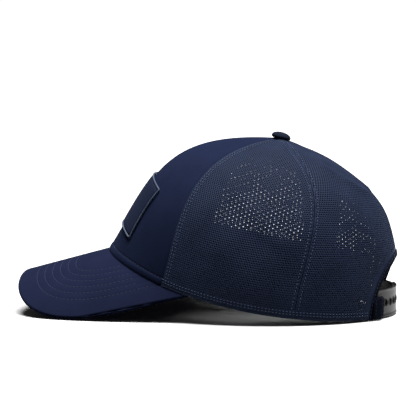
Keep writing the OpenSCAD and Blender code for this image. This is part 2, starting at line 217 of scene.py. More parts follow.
crease_line = [(58, 0.97), (47, 0.87), (38, 0.75), (26, 0.64), (15, 0.58)]
side_fold_line = [(112, 0.62), (98, 0.52), (84, 0.40), (76, 0.30)]
stiff_by_seam, stiff_by_rim, stiff_by_apex = 14, 0.16, 0.12
mean_sag, seam_dip = 0.3, 0.5


def softness(angle, rise):
    """How far limp cloth stands off the even crown, in metres. It is none at seams and ends."""
    turn = np.where(np.asarray(angle) > 180, 360 - np.asarray(angle), angle)
    a = np.radians(angle)
    side = np.asarray(angle) > 180
    soft = np.clip((front_seam(rise) - turn) / stiff_by_seam, 0, 1) * np.clip(rise / stiff_by_rim, 0, 1)
    soft = soft * np.clip((1 - rise) / stiff_by_apex, 0, 1)
    wave = 0.0
    for size, around, up, start in ((0.35, 5, 9, side), (0.3, 9, -13, 2), (0.2, 17, 21, 0)):
        wave = wave + size * np.sin(around * a + up * rise + start)
    seam = np.exp(-((np.abs(turn - rear_seam(rise)) / 6) ** 2)) * seam_dip
    crease = 1.3 * near_line(turn, rise, crease_line, 0.0042)
    crease = crease - 0.9 * near_line(turn + 4, rise - 0.045, crease_line, 0.0055)
    fold = 0.6 * near_line(turn, rise, side_fold_line, 0.006)
    return (wave - seam + crease + fold - mean_sag) * MM * soft


def crown_at(angle, rise, depth=0.0):
    """A point that many metres below the crown's outer face."""
    lift = softness(angle, rise) - depth
    return crown_point(angle, rise) + lift[..., None] * crown_normal(angle, rise)


def rise_at(angle, z):
    """How far up its meridian a height above the table is reached."""
    low, high = np.zeros(np.shape(angle)), np.full(np.shape(angle), 0.6)
    for _ in range(20):
        middle = (low + high) / 2
        under = crown_point(angle, middle)[..., 2] < z
        low, high = np.where(under, middle, low), np.where(under, high, middle)
    return (low + high) / 2


print("brow panel slant height", round(float(crown_point(180.0, 0.5)[2]) / MM, 1), "mm at mid rise")

# %% [markdown]
# ## From rows of points to cloth
# Most pieces here are thin closed sheets: an outer face, an inner face and the edge between
# them. One helper turns two grids of points into such a mesh. It also stores a UV map in
# metres, measured along the cloth, so that a weave keeps its real size on every curve.

# %% Helpers for meshes
def add_object(name, mesh):
    piece = bpy.data.objects.new(name, mesh)
    bpy.context.scene.collection.objects.link(piece)
    return piece


def make_piece(name, points, faces, uv, crisp):
    """A mesh object with outward faces, smooth up to the angle crisp, and a UV map per point."""
    mesh = bpy.data.meshes.new(name)
    mesh.from_pydata(np.asarray(points).reshape(-1, 3).tolist(), [], faces)
    mesh.validate()
    shape = bmesh.new()
    shape.from_mesh(mesh)
    bmesh.ops.recalc_face_normals(shape, faces=shape.faces)
    shape.to_mesh(mesh)
    shape.free()
    corner = np.zeros(len(mesh.loops), int)
    mesh.loops.foreach_get("vertex_index", corner)
    mesh.uv_layers.new(name="cloth").data.foreach_set("uv", np.asarray(uv)[corner].ravel())
    mesh.shade_smooth()
    mesh.set_sharp_from_angle(angle=math.radians(crisp))
    return add_object(name, mesh)


def along(points, axis):
    """Lengths along a grid of points, from its first row or column."""
    step = np.linalg.norm(np.diff(points, axis=axis), axis=-1)
    return np.insert(np.cumsum(step, axis), 0, 0, axis)


def cloth_map(points):
    across = along(points, 1)
    across = across - across[:, across.shape[1] // 2, None]
    return np.stack([across, along(points, 0)], -1)


def closed_sheet(name, outer, inner, crisp=38):
    """A thin sheet between two grids of points, rows by columns."""
    rows, columns = outer.shape[0], outer.shape[1]
    count = rows * columns
    index = np.arange(count).reshape(rows, columns)
    quads = np.stack([index[:-1, :-1], index[:-1, 1:], index[1:, 1:], index[1:, :-1]], -1)
    quads = quads.reshape(-1, 4)
    loop = np.concatenate([index[0], index[1:, -1], index[-1, -2::-1], index[-2:0:-1, 0]])
    after = np.roll(loop, -1)
    rim = np.stack([loop, loop + count, after + count, after], -1)
    faces = np.concatenate([quads, quads[:, ::-1] + count, rim]).tolist()
    uv = np.concatenate([cloth_map(outer).reshape(-1, 2)] * 2)
    points = np.concatenate([outer.reshape(-1, 3), inner.reshape(-1, 3)])
    return make_piece(name, points, faces, uv, crisp)


def swept(name, rings, shut=False, crisp=38):
    """A tube through rings of points. Its ends are capped, or meet when shut is true."""
    count, sides = rings.shape[0], rings.shape[1]
    index = np.arange(count * sides).reshape(count, sides)
    here, then = (index, np.roll(index, -1, 0)) if shut else (index[:-1], index[1:])
    quads = np.stack([here, np.roll(here, -1, 1), np.roll(then, -1, 1), then], -1)
    quads = quads.reshape(-1, 4).tolist()
    if not shut:
        quads += [index[0][::-1].tolist(), index[-1].tolist()]
    closed = np.concatenate([rings, rings[:, :1]], 1)
    uv = np.stack([along(closed, 1)[:, :-1], along(rings, 0)], -1).reshape(-1, 2)
    return make_piece(name, rings, quads, uv, crisp)


def grid(u, v):
    """Fractions across and up, as two grids."""
    return np.meshgrid(np.asarray(u, float), np.asarray(v, float))


def mix(a, b, f):
    return a + (b - a) * f


def ease(f):
    g = np.clip(f, 0, 1)
    return g * g * (3 - 2 * g)


def report(piece):
    piece.data.calc_loop_triangles()
    print(f"{piece.name}: {len(piece.data.loop_triangles)} triangles")
    return piece


# %% [markdown]
# ## Sums on sockets
# Finishes are recipes: a little noise, a weave, a worn edge. Written as node clicks they are
# long, so a small class lets a socket be added and multiplied like a number, and adds the Math
# node behind the scenes. One method makes every other node. The same class serves the
# geometry trees further down.

# %% A class for node sockets
class Wire:
    """One socket of a node tree."""

    def __init__(self, tree, socket=None):
        self.tree, self.socket = tree, socket

    def node(self, kind, settings=None, sockets=None, out=0):
        """Adds a node of that type: its settings first, then values or wires on its sockets."""
        made = self.tree.nodes.new(kind)
        for key, value in (settings or {}).items():
            if key == "stops":
                ramp = made.color_ramp
                while len(ramp.elements) < len(value):
                    ramp.elements.new(0.5)
                for element, (place, shade) in zip(ramp.elements, value):
                    element.position, element.color = place, (*shade, 1)
            else:
                setattr(made, key, value)
        for key, value in (sockets or {}).items():
            if isinstance(value, Wire):
                self.tree.links.new(value.socket, made.inputs[key])
            else:
                made.inputs[key].default_value = value
        return Wire(self.tree, made.outputs[out] if len(made.outputs) else None)

    def other(self, name):
        """Another output of the same node."""
        return Wire(self.tree, self.socket.node.outputs[name])

    def maths(self, operation, a, b=0.0):
        return self.node("ShaderNodeMath", {"operation": operation}, {0: a, 1: b})

    def __add__(self, other):
        return self.maths("ADD", self, other)

    def __sub__(self, other):
        return self.maths("SUBTRACT", self, other)

    def __rsub__(self, other):
        return self.maths("SUBTRACT", other, self)

    def __mul__(self, other):
        return self.maths("MULTIPLY", self, other)

    def __truediv__(self, other):
        return self.maths("DIVIDE", self, other)

    __radd__, __rmul__ = __add__, __mul__

    def wave(self):
        """A sine of this value, from 0 to 1."""
        return self.maths("SINE", self) * 0.5 + 0.5

    def clear(self):
        """This value held between 0 and 1."""
        return self.node("ShaderNodeClamp", None, {0: self})

    def blend(self, low, high):
        """A colour between two, by this value."""
        return self.node("ShaderNodeMix", {"data_type": "RGBA"}, {0: self, 6: low, 7: high}, 2)


def colour(r, g, b):
    return (r, g, b, 1.0)


def new_finish(name):
    """An empty material and a wire to start its recipe from."""
    finish = bpy.data.materials.new(name)
    finish.use_nodes = True
    finish.node_tree.nodes.clear()
    return finish, Wire(finish.node_tree)


def close_finish(finish, start, **sockets):
    """Puts a Principled shader behind the recipe. Names use _ for a space."""
    values = {key.replace("_", " "): value for key, value in sockets.items()}
    surface = start.node("ShaderNodeBsdfPrincipled", None, values)
    start.node("ShaderNodeOutputMaterial", None, {"Surface": surface})
    return finish


def speckle(place, scale, detail=2.0):
    """Noise over a place, at so many specks a metre."""
    return place.node("ShaderNodeTexNoise", None, {"Vector": place, "Scale": scale, "Detail": detail})


def relief(height, strength, depth):
    """A bumped normal from a height, with a depth in metres."""
    return height.node("ShaderNodeBump", None, {"Strength": strength, "Distance": depth, "Height": height})


def dress(piece, finish):
    piece.data.materials.clear()
    piece.data.materials.append(finish)
    return piece


# %% [markdown]
# ## Woven cloth
# The front, the visor and the patch are fine cotton twill, where the weft steps one thread
# sideways in each row, which draws diagonal ribs. The ribs are half a millimetre apart, so from
# a metre away they only soften the shine. Yarn also takes dye unevenly, which shows as faint
# streaks. Both are drawn on the cloth's own UV map, in metres.

# %% Twill, plain weave and their yarns
def cloth_finish(name, deep, light, rib=0.00055, slant=0.9, lift=0.25, sheen=0.02,
                 rough=0.85, tint=(0.35, 0.45, 0.8)):
    """A woven cloth: diagonal ribs, uneven yarn and slow clouds between two colours."""
    finish, start = new_finish(name)
    cloth = start.node("ShaderNodeUVMap", {"uv_map": "cloth"})
    parts = start.node("ShaderNodeSeparateXYZ", None, {0: cloth})
    across, up = parts.other("X"), parts.other("Y")
    turn = 2 * math.pi / rib
    ribs = ((across * slant + up) * turn).wave()
    floats = ((across - up * 0.35) * (turn * 0.52)).wave()
    stretched = start.node("ShaderNodeMapping", None, {"Vector": cloth, "Scale": (2600, 420, 1)})
    yarn = speckle(stretched, 1.0)
    crossed = start.node("ShaderNodeMapping", None, {"Vector": cloth, "Scale": (420, 2600, 1)})
    weft = speckle(crossed, 1.0)
    place = start.node("ShaderNodeTexCoord", None, None, 3)
    clouds = speckle(place, 55.0, 4.0)
    shade = (yarn * 0.55 + weft * 0.35 + ribs * 0.25 + clouds * 0.6 - 0.42).clear()
    height = ribs * 0.7 + floats * 0.3 + yarn * 0.8
    bump = relief(height, lift, 0.00025)
    return close_finish(
        finish, start, Base_Color=shade.blend(colour(*deep), colour(*light)), Roughness=rough,
        Sheen_Weight=sheen, Sheen_Roughness=0.45, Sheen_Tint=colour(*tint),
        Specular_IOR_Level=0.04, Normal=bump,
    )


front_cloth = cloth_finish("front_twill", (0.0085, 0.0130, 0.036), (0.0165, 0.0245, 0.066))
visor_cloth = cloth_finish("visor_twill", (0.0076, 0.0106, 0.0305), (0.0148, 0.0200, 0.054))
patch_cloth = cloth_finish(
    "patch_twill", (0.010, 0.0145, 0.034), (0.021, 0.028, 0.062), rib=0.0009, slant=0.1
)
button_cloth = cloth_finish("button_twill", (0.010, 0.0125, 0.024), (0.020, 0.025, 0.046))
band_cloth = cloth_finish("sweatband_cotton", (0.003, 0.004, 0.009), (0.006, 0.008, 0.017), rib=0.0008)
tape_cloth = cloth_finish(
    "seam_tape_weave", (0.003, 0.0045, 0.010), (0.006, 0.009, 0.018), rib=0.0011, slant=0.0
)
binding_cloth = cloth_finish("binding_weave", (0.003, 0.0045, 0.011), (0.007, 0.010, 0.022), rib=0.0009)
print("cloths:", [m.name for m in bpy.data.materials])

# %% [markdown]
# ## Knitted mesh, plastic, board and metal
# The mesh is knitted nylon: smoother than cotton, so it catches thin highlights on its raised
# threads. Its holes are real geometry, so the finish only needs the thread. The closure is a
# cloudy smoke-grey plastic that lets a little light through.

# %% Knit, thread, plastic and metal
def knit_finish(name, deep, light):
    """Smooth knitted thread, with a fine twist and slow changes of dye."""
    finish, start = new_finish(name)
    place = start.node("ShaderNodeTexCoord", None, None, 3)
    twist = speckle(place, 2300.0, 1.0)
    clouds = speckle(place, 60.0, 3.0)
    shade = (twist * 0.8 + clouds * 0.7 - 0.3).clear()
    bump = relief(twist, 0.35, 0.0002)
    return close_finish(
        finish, start, Base_Color=shade.blend(colour(*deep), colour(*light)),
        Roughness=0.5 + twist * 0.2, Sheen_Weight=0.03, Sheen_Roughness=0.4,
        Sheen_Tint=colour(0.45, 0.55, 0.85), Specular_IOR_Level=0.1, Normal=bump,
    )


def thread_finish(name, deep, light, rough=0.5):
    """Sewing thread: two plies twisted round each other, with a soft shine."""
    finish, start = new_finish(name)
    place = start.node("ShaderNodeTexCoord", None, None, 3)
    parts = start.node("ShaderNodeSeparateXYZ", None, {0: place})
    ply = ((parts.other("X") + parts.other("Y") + parts.other("Z")) * 14000).wave()
    shade = speckle(place, 900.0)
    bump = relief(ply, 0.3, 0.0001)
    return close_finish(
        finish, start, Base_Color=(shade * 0.7 + ply * 0.3).clear().blend(colour(*deep), colour(*light)),
        Roughness=rough, Sheen_Weight=0.05, Specular_IOR_Level=0.15, Normal=bump,
    )


def plastic_finish(name):
    """Cloudy smoke-grey plastic: a faint mould texture, and sharp convex edges a little paler."""
    finish, start = new_finish(name)
    place = start.node("ShaderNodeTexCoord", None, None, 3)
    cloud = speckle(place, 150.0, 3.0)
    grain = speckle(place, 1800.0)
    pointed = start.node("ShaderNodeNewGeometry", None, None, 7)
    # Pointiness makes the sharp convex edges a little paler.
    paler_edge = ((pointed - 0.52) * 6).clear() * 0.5
    shade = (cloud * 0.7 + paler_edge).clear()
    bump = relief(grain, 0.12, 0.0002)
    return close_finish(
        finish, start, Base_Color=shade.blend(colour(0.018, 0.018, 0.020), colour(0.044, 0.044, 0.049)),
        Roughness=0.32 + grain * 0.16, Transmission_Weight=0.25, IOR=1.46,
        Specular_IOR_Level=0.3, Normal=bump,
    )


def board_finish(name):
    """Pressed fibre board, pale and slightly mottled."""
    finish, start = new_finish(name)
    place = start.node("ShaderNodeTexCoord", None, None, 3)
    fibre = speckle(place, 700.0, 4.0)
    bump = relief(fibre, 0.2, 0.0002)
    return close_finish(
        finish, start, Base_Color=fibre.blend(colour(0.36, 0.36, 0.34), colour(0.62, 0.62, 0.59)),
        Roughness=0.7, Normal=bump,
    )


def tin_finish(name):
    """Tinned steel, brushed round and dulled by touch."""
    finish, start = new_finish(name)
    place = start.node("ShaderNodeTexCoord", None, None, 3)
    stretched = start.node("ShaderNodeMapping", None, {"Vector": place, "Scale": (9000, 900, 900)})
    brushed = speckle(stretched, 1.0)
    return close_finish(
        finish, start, Base_Color=brushed.blend(colour(0.42, 0.42, 0.43), colour(0.62, 0.62, 0.63)),
        Roughness=0.3 + brushed * 0.25, Metallic=1.0,
    )


mesh_cloth = knit_finish("knitted_mesh", (0.010, 0.0165, 0.040), (0.026, 0.040, 0.088))
# The hem fold is the same knitted mesh as the gores, painted darker: painted shade for the layer that lies
# inside the outer mesh.
shaded_hem_knit = knit_finish("folded_mesh", (0.007, 0.010, 0.024), (0.014, 0.020, 0.044))
seam_thread = thread_finish("navy_thread", (0.022, 0.029, 0.064), (0.050, 0.064, 0.125))
mesh_thread = thread_finish("blue_thread", (0.06, 0.095, 0.18), (0.15, 0.21, 0.36))
dark_thread = thread_finish("dark_thread", (0.007, 0.009, 0.019), (0.016, 0.020, 0.040))
satin_thread = thread_finish("satin_thread", (0.050, 0.075, 0.125), (0.11, 0.15, 0.235), 0.35)
buckram = cloth_finish(
    "buckram", (0.006, 0.007, 0.010), (0.020, 0.022, 0.028), rib=0.0013, slant=0.0, lift=0.6
)
strap_plastic = plastic_finish("smoke_plastic")
board = board_finish("visor_board_fibre")
tin = tin_finish("tinned_steel")
print(len(bpy.data.materials), "finishes")

# %% [markdown]
# ## Trees for what repeats
# Hundreds of stitches and thousands of holes should follow one rule. The first tree walks along
# a path, drops a stitch at each step and turns it by the tangent and by the way out of the
# cloth, which each path point carries as an attribute. The second opens a hole in each cell of
# a lattice: it insets the cell, sinks the inset a little to round the thread, and deletes it.

# %% Geometry tree helpers
def new_tree(name, inputs):
    """A geometry tree with named inputs, and a wire to its input node."""
    tree = bpy.data.node_groups.new(name, "GeometryNodeTree")
    tree.interface.new_socket("Geometry", in_out="INPUT", socket_type="NodeSocketGeometry")
    for label, kind, value in inputs:
        made = tree.interface.new_socket(label, in_out="INPUT", socket_type=kind)
        if value is not None:
            made.default_value = value
    tree.interface.new_socket("Geometry", in_out="OUTPUT", socket_type="NodeSocketGeometry")
    return tree, Wire(tree).node("NodeGroupInput")


def close_tree(result, finish):
    """Ends a tree: instances become real and take their material."""
    real = result.node("GeometryNodeRealizeInstances", None, {"Geometry": result})
    painted = real.node("GeometryNodeSetMaterial", None, {"Geometry": real, "Material": finish})
    painted.node("NodeGroupOutput", None, {"Geometry": painted})


def grow(piece, tree, values):
    """Runs a tree on a piece and turns the result into a plain mesh object of the same name."""
    name = piece.name
    piece.name = name + ".source"
    modifier = piece.modifiers.new("grow", "NODES")
    modifier.node_group = tree
    for item in tree.interface.items_tree:
        if item.in_out == "INPUT" and item.name in values:
            modifier[item.identifier] = values[item.name]
    evaluated = piece.evaluated_get(bpy.context.evaluated_depsgraph_get())
    mesh = bpy.data.meshes.new_from_object(evaluated)
    piece.modifiers.remove(modifier)
    bpy.data.objects.remove(piece)
    mesh.name = name
    return report(add_object(name, mesh))


def stitch_tree():
    tree, given = new_tree("stitches_on_a_path", [
        ("Spacing", "NodeSocketFloat", 0.003), ("Length", "NodeSocketFloat", 0.0026),
        ("Width", "NodeSocketFloat", 0.0005), ("Height", "NodeSocketFloat", 0.0004),
        ("Turn", "NodeSocketFloat", 0.0), ("Sway", "NodeSocketFloat", 0.06),
        ("Seed", "NodeSocketInt", 7), ("Thread", "NodeSocketMaterial", None),
    ])
    path = given.node("GeometryNodeMeshToCurve", None, {0: given})
    steps = path.node("GeometryNodeResampleCurve", {"mode": "LENGTH"}, {
        "Curve": path, "Length": given.other("Spacing"),
    })
    tangent = given.node("GeometryNodeInputTangent")
    way_out = given.node(
        "GeometryNodeInputNamedAttribute", {"data_type": "FLOAT_VECTOR"}, {"Name": "way_out"}
    )
    facing = given.node(
        "FunctionNodeAxesToRotation", {"primary_axis": "Z", "secondary_axis": "X"},
        {"Primary Axis": way_out, "Secondary Axis": tangent},
    )
    sway = given.node("FunctionNodeRandomValue", {"data_type": "FLOAT"}, {
        2: given.other("Sway") * -1.0, 3: given.other("Sway"), "Seed": given.other("Seed"),
    }, 1)
    spin = given.node("ShaderNodeCombineXYZ", None, {2: sway + given.other("Turn")})
    turned = given.node("FunctionNodeRotateRotation", {"rotation_space": "LOCAL"}, {0: facing, 1: spin})
    ball = given.node("GeometryNodeMeshUVSphere", None, {"Segments": 6, "Rings": 4, "Radius": 0.5})
    size = given.node("ShaderNodeCombineXYZ", None, {
        0: given.other("Length"), 1: given.other("Width"), 2: given.other("Height"),
    })
    stitch = ball.node("GeometryNodeTransform", None, {"Geometry": ball, "Scale": size})
    smooth = stitch.node("GeometryNodeSetShadeSmooth", None, {0: stitch})
    sewn = steps.node("GeometryNodeInstanceOnPoints", None, {
        "Points": steps, "Instance": smooth, "Rotation": turned,
    })
    close_tree(sewn, given.other("Thread"))
    return tree


def hole_tree():
    tree, given = new_tree("holes_in_a_lattice", [
        ("Hole share", "NodeSocketFloat", 0.5), ("Sink", "NodeSocketFloat", 0.0001),
        ("Cloth", "NodeSocketMaterial", None),
    ])
    open_cell = given.node("GeometryNodeInputNamedAttribute", {"data_type": "BOOLEAN"}, {"Name": "open"})
    inset = given.node("GeometryNodeExtrudeMesh", {"mode": "FACES"}, {
        "Mesh": given, "Selection": open_cell, "Offset Scale": given.other("Sink") * -1.0, "Individual": True,
    })
    top = inset.other("Top")
    shrunk = inset.node("GeometryNodeScaleElements", {"domain": "FACE"}, {
        "Geometry": inset, "Selection": top, "Scale": given.other("Hole share"),
    })
    pierced = shrunk.node("GeometryNodeDeleteGeometry", {"domain": "FACE"}, {
        "Geometry": shrunk, "Selection": top,
    })
    close_tree(pierced, given.other("Cloth"))
    return tree


stitches, holes = stitch_tree(), hole_tree()
print("trees:", [t.name for t in bpy.data.node_groups])


# %% Sewing along paths
def paths_piece(name, paths):
    """Edges through several paths of (points, ways out), each point carrying its way out."""
    points, edges, outs = [], [], []
    for path, out in paths:
        first = len(points)
        points += [tuple(p) for p in path]
        outs += [tuple(n) for n in out]
        edges += [(i, i + 1) for i in range(first, len(points) - 1)]
    mesh = bpy.data.meshes.new(name)
    mesh.from_pydata(points, edges, [])
    mesh.attributes.new("way_out", "FLOAT_VECTOR", "POINT").data.foreach_set("vector", np.ravel(outs))
    return add_object(name, mesh)


def sew(name, paths, thread, spacing=3.0, length=2.5, width=0.5, height=0.4, turn=0.0, sway=0.06):
    """Rows of stitches, with sizes in millimetres."""
    return grow(paths_piece(name, paths), stitches, {
        "Spacing": spacing * MM, "Length": length * MM, "Width": width * MM, "Height": height * MM,
        "Turn": turn, "Sway": sway, "Thread": thread,
    })


def crown_path(angle, rise, depth):
    """A path over the crown, at a depth below its outer face."""
    angle, rise = np.broadcast_arrays(np.asarray(angle, float), np.asarray(rise, float))
    return crown_at(angle, rise, depth), crown_normal(angle, rise)


# %% [markdown]
# ## The front panel
# One piece of twill runs from seam to seam over the brow. It is smooth, because buckram stands
# behind it, but two things break the surface: the cloth turns under at its seams, and a row of
# stitches 5 mm above the visor holds the visor's turned edge, which lifts a narrow band.
# A grid with fine rows where those details are gives both without a heavy mesh.

# %% Front panel and its buckram
seam_gap, panel_foot, panel_top = 0.15, 0.004, 0.99
front_thick, mesh_thick = 0.9 * MM, 0.45 * MM
buckram_outer, buckram_inner = 1.15 * MM, 2.4 * MM
band_stitch_height = 5 * MM


def fine_ends(count, ends=5, share=0.035):
    """Fractions that crowd near 0 and 1."""
    near = np.linspace(0, share, ends + 1)[:-1]
    return np.concatenate([near, np.linspace(share, 1 - share, count), 1 - near[::-1]])


def edge_turn(points, depth=0.55, reach=0.9):
    """How far a panel's edge turns under, in metres, by its distance from the side edges."""
    left = along(points, 1)
    nearest = np.minimum(left, left[:, -1:] - left)
    return depth * MM * np.exp(-((nearest / (reach * MM)) ** 2))


def front_place(u, v):
    rise = mix(panel_foot, panel_top, v)
    edge = front_seam(rise) + seam_gap
    return mix(edge, 360 - edge, u), rise


up_steps = np.concatenate([np.linspace(0, 0.06, 21)[:-1], np.linspace(0.06, 1, 96)])
angle, rise = front_place(*grid(fine_ends(110), up_steps))
flat_front = crown_point(angle, rise)
above_visor = along(flat_front, 0)
lifted_band = 0.4 * MM * np.sin(np.pi * np.clip(above_visor / band_stitch_height, 0, 1)) ** 0.6
groove = 0.28 * MM * np.exp(-(((above_visor - band_stitch_height) / (0.55 * MM)) ** 2))
front_dip = edge_turn(flat_front) + groove - lifted_band
front_panel = closed_sheet(
    "front_cloth_panel", crown_at(angle, rise, front_dip), crown_at(angle, rise, front_thick + 0 * front_dip)
)
report(dress(front_panel, front_cloth))


def flat_size(points):
    """Width, height and area of a panel laid flat, in metres."""
    a, b = points[:-1, 1:] - points[:-1, :-1], points[1:, :-1] - points[:-1, :-1]
    area = float(np.linalg.norm(np.cross(a, b), axis=-1).sum())
    width = float(along(points, 1)[:, -1].max())
    height = float(along(points, 0)[-1].max())
    return round(width, 4), round(height, 4), round(area, 5)


front_flat = flat_size(flat_front)
print("front panel cut: width, height, area", front_flat)


def stiffener_place(u, v):
    rise = mix(0.02, 0.8, v)
    edge = front_seam(rise) + 5 / (1 - 0.6 * rise)
    return mix(edge, 360 - edge, u), rise


angle, rise = stiffener_place(*grid(np.linspace(0, 1, 61), np.linspace(0, 1, 61)))
stiffener_flat = flat_size(crown_point(angle, rise))
front_stiffener = closed_sheet(
    "front_buckram", crown_at(angle, rise, buckram_outer), crown_at(angle, rise, buckram_inner)
)
report(dress(front_stiffener, buckram))

# %% [markdown]
# ## The mesh gores
# Each gore is cut from knitted mesh whose holes lie in staggered rows, 1.75 mm apart in a row
# and 1.5 mm from row to row. The holes have to be real, because the far side and the backdrop
# show through two layers of them. A lattice of six-sided cells is drawn flat, over the gore's
# own width and height, then laid on the crown. Cells that the edge cuts stay closed, as the
# selvage in a seam does, and the tree opens the rest.

# %% Lattice of a gore
cell_wide, cell_high = 1.75 * MM, 1.5 * MM
hole_share, thread_sink = 0.36, 0.2 * MM
far_side_turn = 28


def gore_lattice(low_edge, high_edge, foot, top, turn=0.0):
    """Cells of a gore between two edge angles, each a function of rise, and two rises.

    The knit is cut at a turn to the gore's own height, in degrees."""
    rises = np.linspace(foot, top, 160)
    shares = np.linspace(0, 1, 41)
    angles = low_edge(rises)[:, None] + (high_edge(rises) - low_edge(rises))[:, None] * shares
    rows = crown_point(angles, rises[:, None])
    across, height = along(rows, 1), along(rows[:, 20:21], 0)[:, 0]
    widest = across[:, -1].max() / 2
    lean_out = math.sin(math.radians(abs(turn)))
    count_x = int((widest + height[-1] * lean_out) / cell_wide) + 2
    spare_y = int(widest * lean_out / cell_high) + 2 if turn else 0
    count_y = int(height[-1] / cell_high) + 2
    points, found, cells, is_open = [], {}, [], []

    def corner(kx, ky):
        if (kx, ky) not in found:
            found[kx, ky] = len(points)
            points.append((kx * cell_wide / 2, ky * cell_high / 3))
        return found[kx, ky]

    for j in range(-spare_y, count_y + spare_y):
        for i in range(-count_x, count_x + 1):
            kx, ky = 2 * i + j % 2, 3 * j
            cells.append([corner(kx + dx, ky + dy) for dx, dy in
                          ((0, -2), (1, -1), (1, 1), (0, 2), (-1, 1), (-1, -1))])
    flat = np.array(points)
    c, s = math.cos(math.radians(turn)), math.sin(math.radians(turn))
    flat = np.stack([flat[:, 0] * c - flat[:, 1] * s, flat[:, 0] * s + flat[:, 1] * c], -1)
    y = np.clip(flat[:, 1], 0, height[-1])
    half = np.interp(y, height, across[:, -1]) / 2
    x = np.clip(flat[:, 0], -half, half)
    rise = np.interp(y, height, rises)
    angle = np.zeros(len(flat))
    row = np.interp(rise, rises, np.arange(len(rises))).astype(int)
    for k in np.unique(row):
        on = row == k
        share = (x[on] + half[on]) / (2 * half[on])
        lengths = across[k] / across[k, -1]
        fraction = np.interp(share, lengths, shares)
        low, high = low_edge(rise[on]), high_edge(rise[on])
        angle[on] = low + (high - low) * fraction
    full = cell_wide * cell_high
    kept = []
    clipped = np.stack([x, y], -1)
    for cell in cells:
        p = clipped[cell]
        q = np.roll(p, -1, 0)
        area = 0.5 * abs(float((p[:, 0] * q[:, 1] - q[:, 0] * p[:, 1]).sum()))
        if area > 0.02 * full:
            kept.append(cell)
            is_open.append(area > 0.93 * full)
    return angle, rise, kept, is_open


def lay_cells(parts, mirror):
    """Points, cells and open flags of several lattices, each laid at its own depth."""
    points, cells, flags = [], [], []
    for (angle, rise, part_cells, is_open), depth in parts:
        first = sum(len(p) for p in points)
        points.append(crown_at(360 - angle if mirror else angle, rise, depth))
        cells += [[c + first for c in cell] for cell in part_cells]
        flags += is_open
    return np.concatenate(points), cells, flags


def knit_piece(name, parts, mirror, finish):
    """Lattices turned into perforated cloth of an even thickness."""
    points, cells, flags = lay_cells(parts, mirror)
    mesh = bpy.data.meshes.new(name)
    mesh.from_pydata(points.tolist(), [], cells)
    mesh.attributes.new("open", "BOOLEAN", "FACE").data.foreach_set("value", flags)
    shape = bmesh.new()
    shape.from_mesh(mesh)
    bmesh.ops.dissolve_degenerate(shape, dist=0.02 * MM, edges=shape.edges)
    centre = np.array([0, apex_back, 0.03])
    for face in shape.faces:
        out = np.array(face.calc_center_median()) - centre
        if np.dot(out, np.array(face.normal)) < 0:
            face.normal_flip()
    loose = [v for v in shape.verts if not v.link_faces]
    bmesh.ops.delete(shape, geom=loose, context="VERTS")
    shape.to_mesh(mesh)
    shape.free()
    piece = grow(add_object(name, mesh), holes, {
        "Hole share": hole_share, "Sink": thread_sink, "Cloth": finish,
    })
    solid = piece.modifiers.new("thickness", "SOLIDIFY")
    solid.thickness, solid.offset, solid.use_even_offset = mesh_thick, -1, False
    piece.data.shade_smooth()
    return piece


allowance, fold_top, row_top = 7 * MM, 0.95, 0.93


def inside_strip(edge, way):
    """The other edge of a seam allowance: a fixed width from a seam, as an angle at each rise."""
    def strip(rise):
        here = edge(rise)
        step = np.linalg.norm(crown_point(here + 1, rise) - crown_point(here, rise), axis=-1)
        return here + way * np.minimum(allowance / np.maximum(step, 1e-5), 16)
    return strip


def side_low(rise):
    return rear_seam(rise) + seam_gap


def side_high(rise):
    return front_seam(rise) - seam_gap


side_gore = gore_lattice(side_low, side_high, panel_foot, panel_top)
side_low_fold = gore_lattice(side_low, inside_strip(side_low, 1), panel_foot, fold_top)
side_high_fold = gore_lattice(inside_strip(side_high, -1), side_high, panel_foot, fold_top)
fold_depth = 0.52 * MM
side_folds = [(side_low_fold, fold_depth), (side_high_fold, fold_depth)]
turned_side = gore_lattice(side_low, side_high, panel_foot, panel_top, turn=far_side_turn)
left_side = knit_piece("left_side_gore", [(side_gore, 0.0)] + side_folds, False, mesh_cloth)
right_side = knit_piece("right_side_gore", [(turned_side, 0.0)] + side_folds, True, mesh_cloth)
print(len(side_gore[2]), "cells in a side gore,", sum(side_gore[3]), "of them open")

# %% [markdown]
# ## The rear gores and the arch
# The rear gores lose a half arch at their foot, where the closure goes. Lattice corners that
# fall inside the arch are pushed out to its edge, and cells that collapse there are dropped.

# %% Rear gores
arch_foot_angle, arch_height, arch_power = 30.5, 42.5 * MM, 1.85
arch_rise = float(rise_at(np.array(0.0), arch_height))


def keep_off_arch(lattice, backed=1.3):
    """Push a lattice off the arch. Near its edge a backing strip closes the holes."""
    angle, rise, cells, is_open = lattice
    inside = (np.abs(angle) / arch_foot_angle) ** arch_power + (rise / arch_rise) ** arch_power
    scale = np.where(inside < 1, np.maximum(inside, 1e-6) ** (-1 / arch_power), 1)
    moved = inside < 1
    kept, flags = [], []
    for cell, flag in zip(cells, is_open):
        if not moved[cell].all():
            kept.append(cell)
            flags.append(bool(flag and inside[cell].min() > backed))
    return np.where(moved, angle * scale, angle), np.where(moved, rise * scale, rise), kept, flags


def rear_low(rise):
    return np.full(np.shape(rise), seam_gap)


def rear_high(rise):
    return rear_seam(rise) - seam_gap


rear_gore = keep_off_arch(gore_lattice(rear_low, rear_high, panel_foot, panel_top))
rear_low_fold = gore_lattice(rear_low, inside_strip(rear_low, 1), arch_rise + 0.03, fold_top)
rear_high_fold = gore_lattice(inside_strip(rear_high, -1), rear_high, panel_foot, fold_top)
rear_folds = [(rear_low_fold, fold_depth), (rear_high_fold, fold_depth)]
turned_rear = keep_off_arch(gore_lattice(rear_low, rear_high, panel_foot, panel_top, turn=far_side_turn))
left_rear = knit_piece("left_rear_gore", [(rear_gore, 0.0)] + rear_folds, False, mesh_cloth)
right_rear = knit_piece("right_rear_gore", [(turned_rear, 0.0)] + rear_folds, True, mesh_cloth)
print(len(rear_gore[2]), "cells in a rear gore,", sum(rear_gore[3]), "of them open")


hem_start, hem_height, hem_rise = 34.5, 6.5 * MM, 0.046


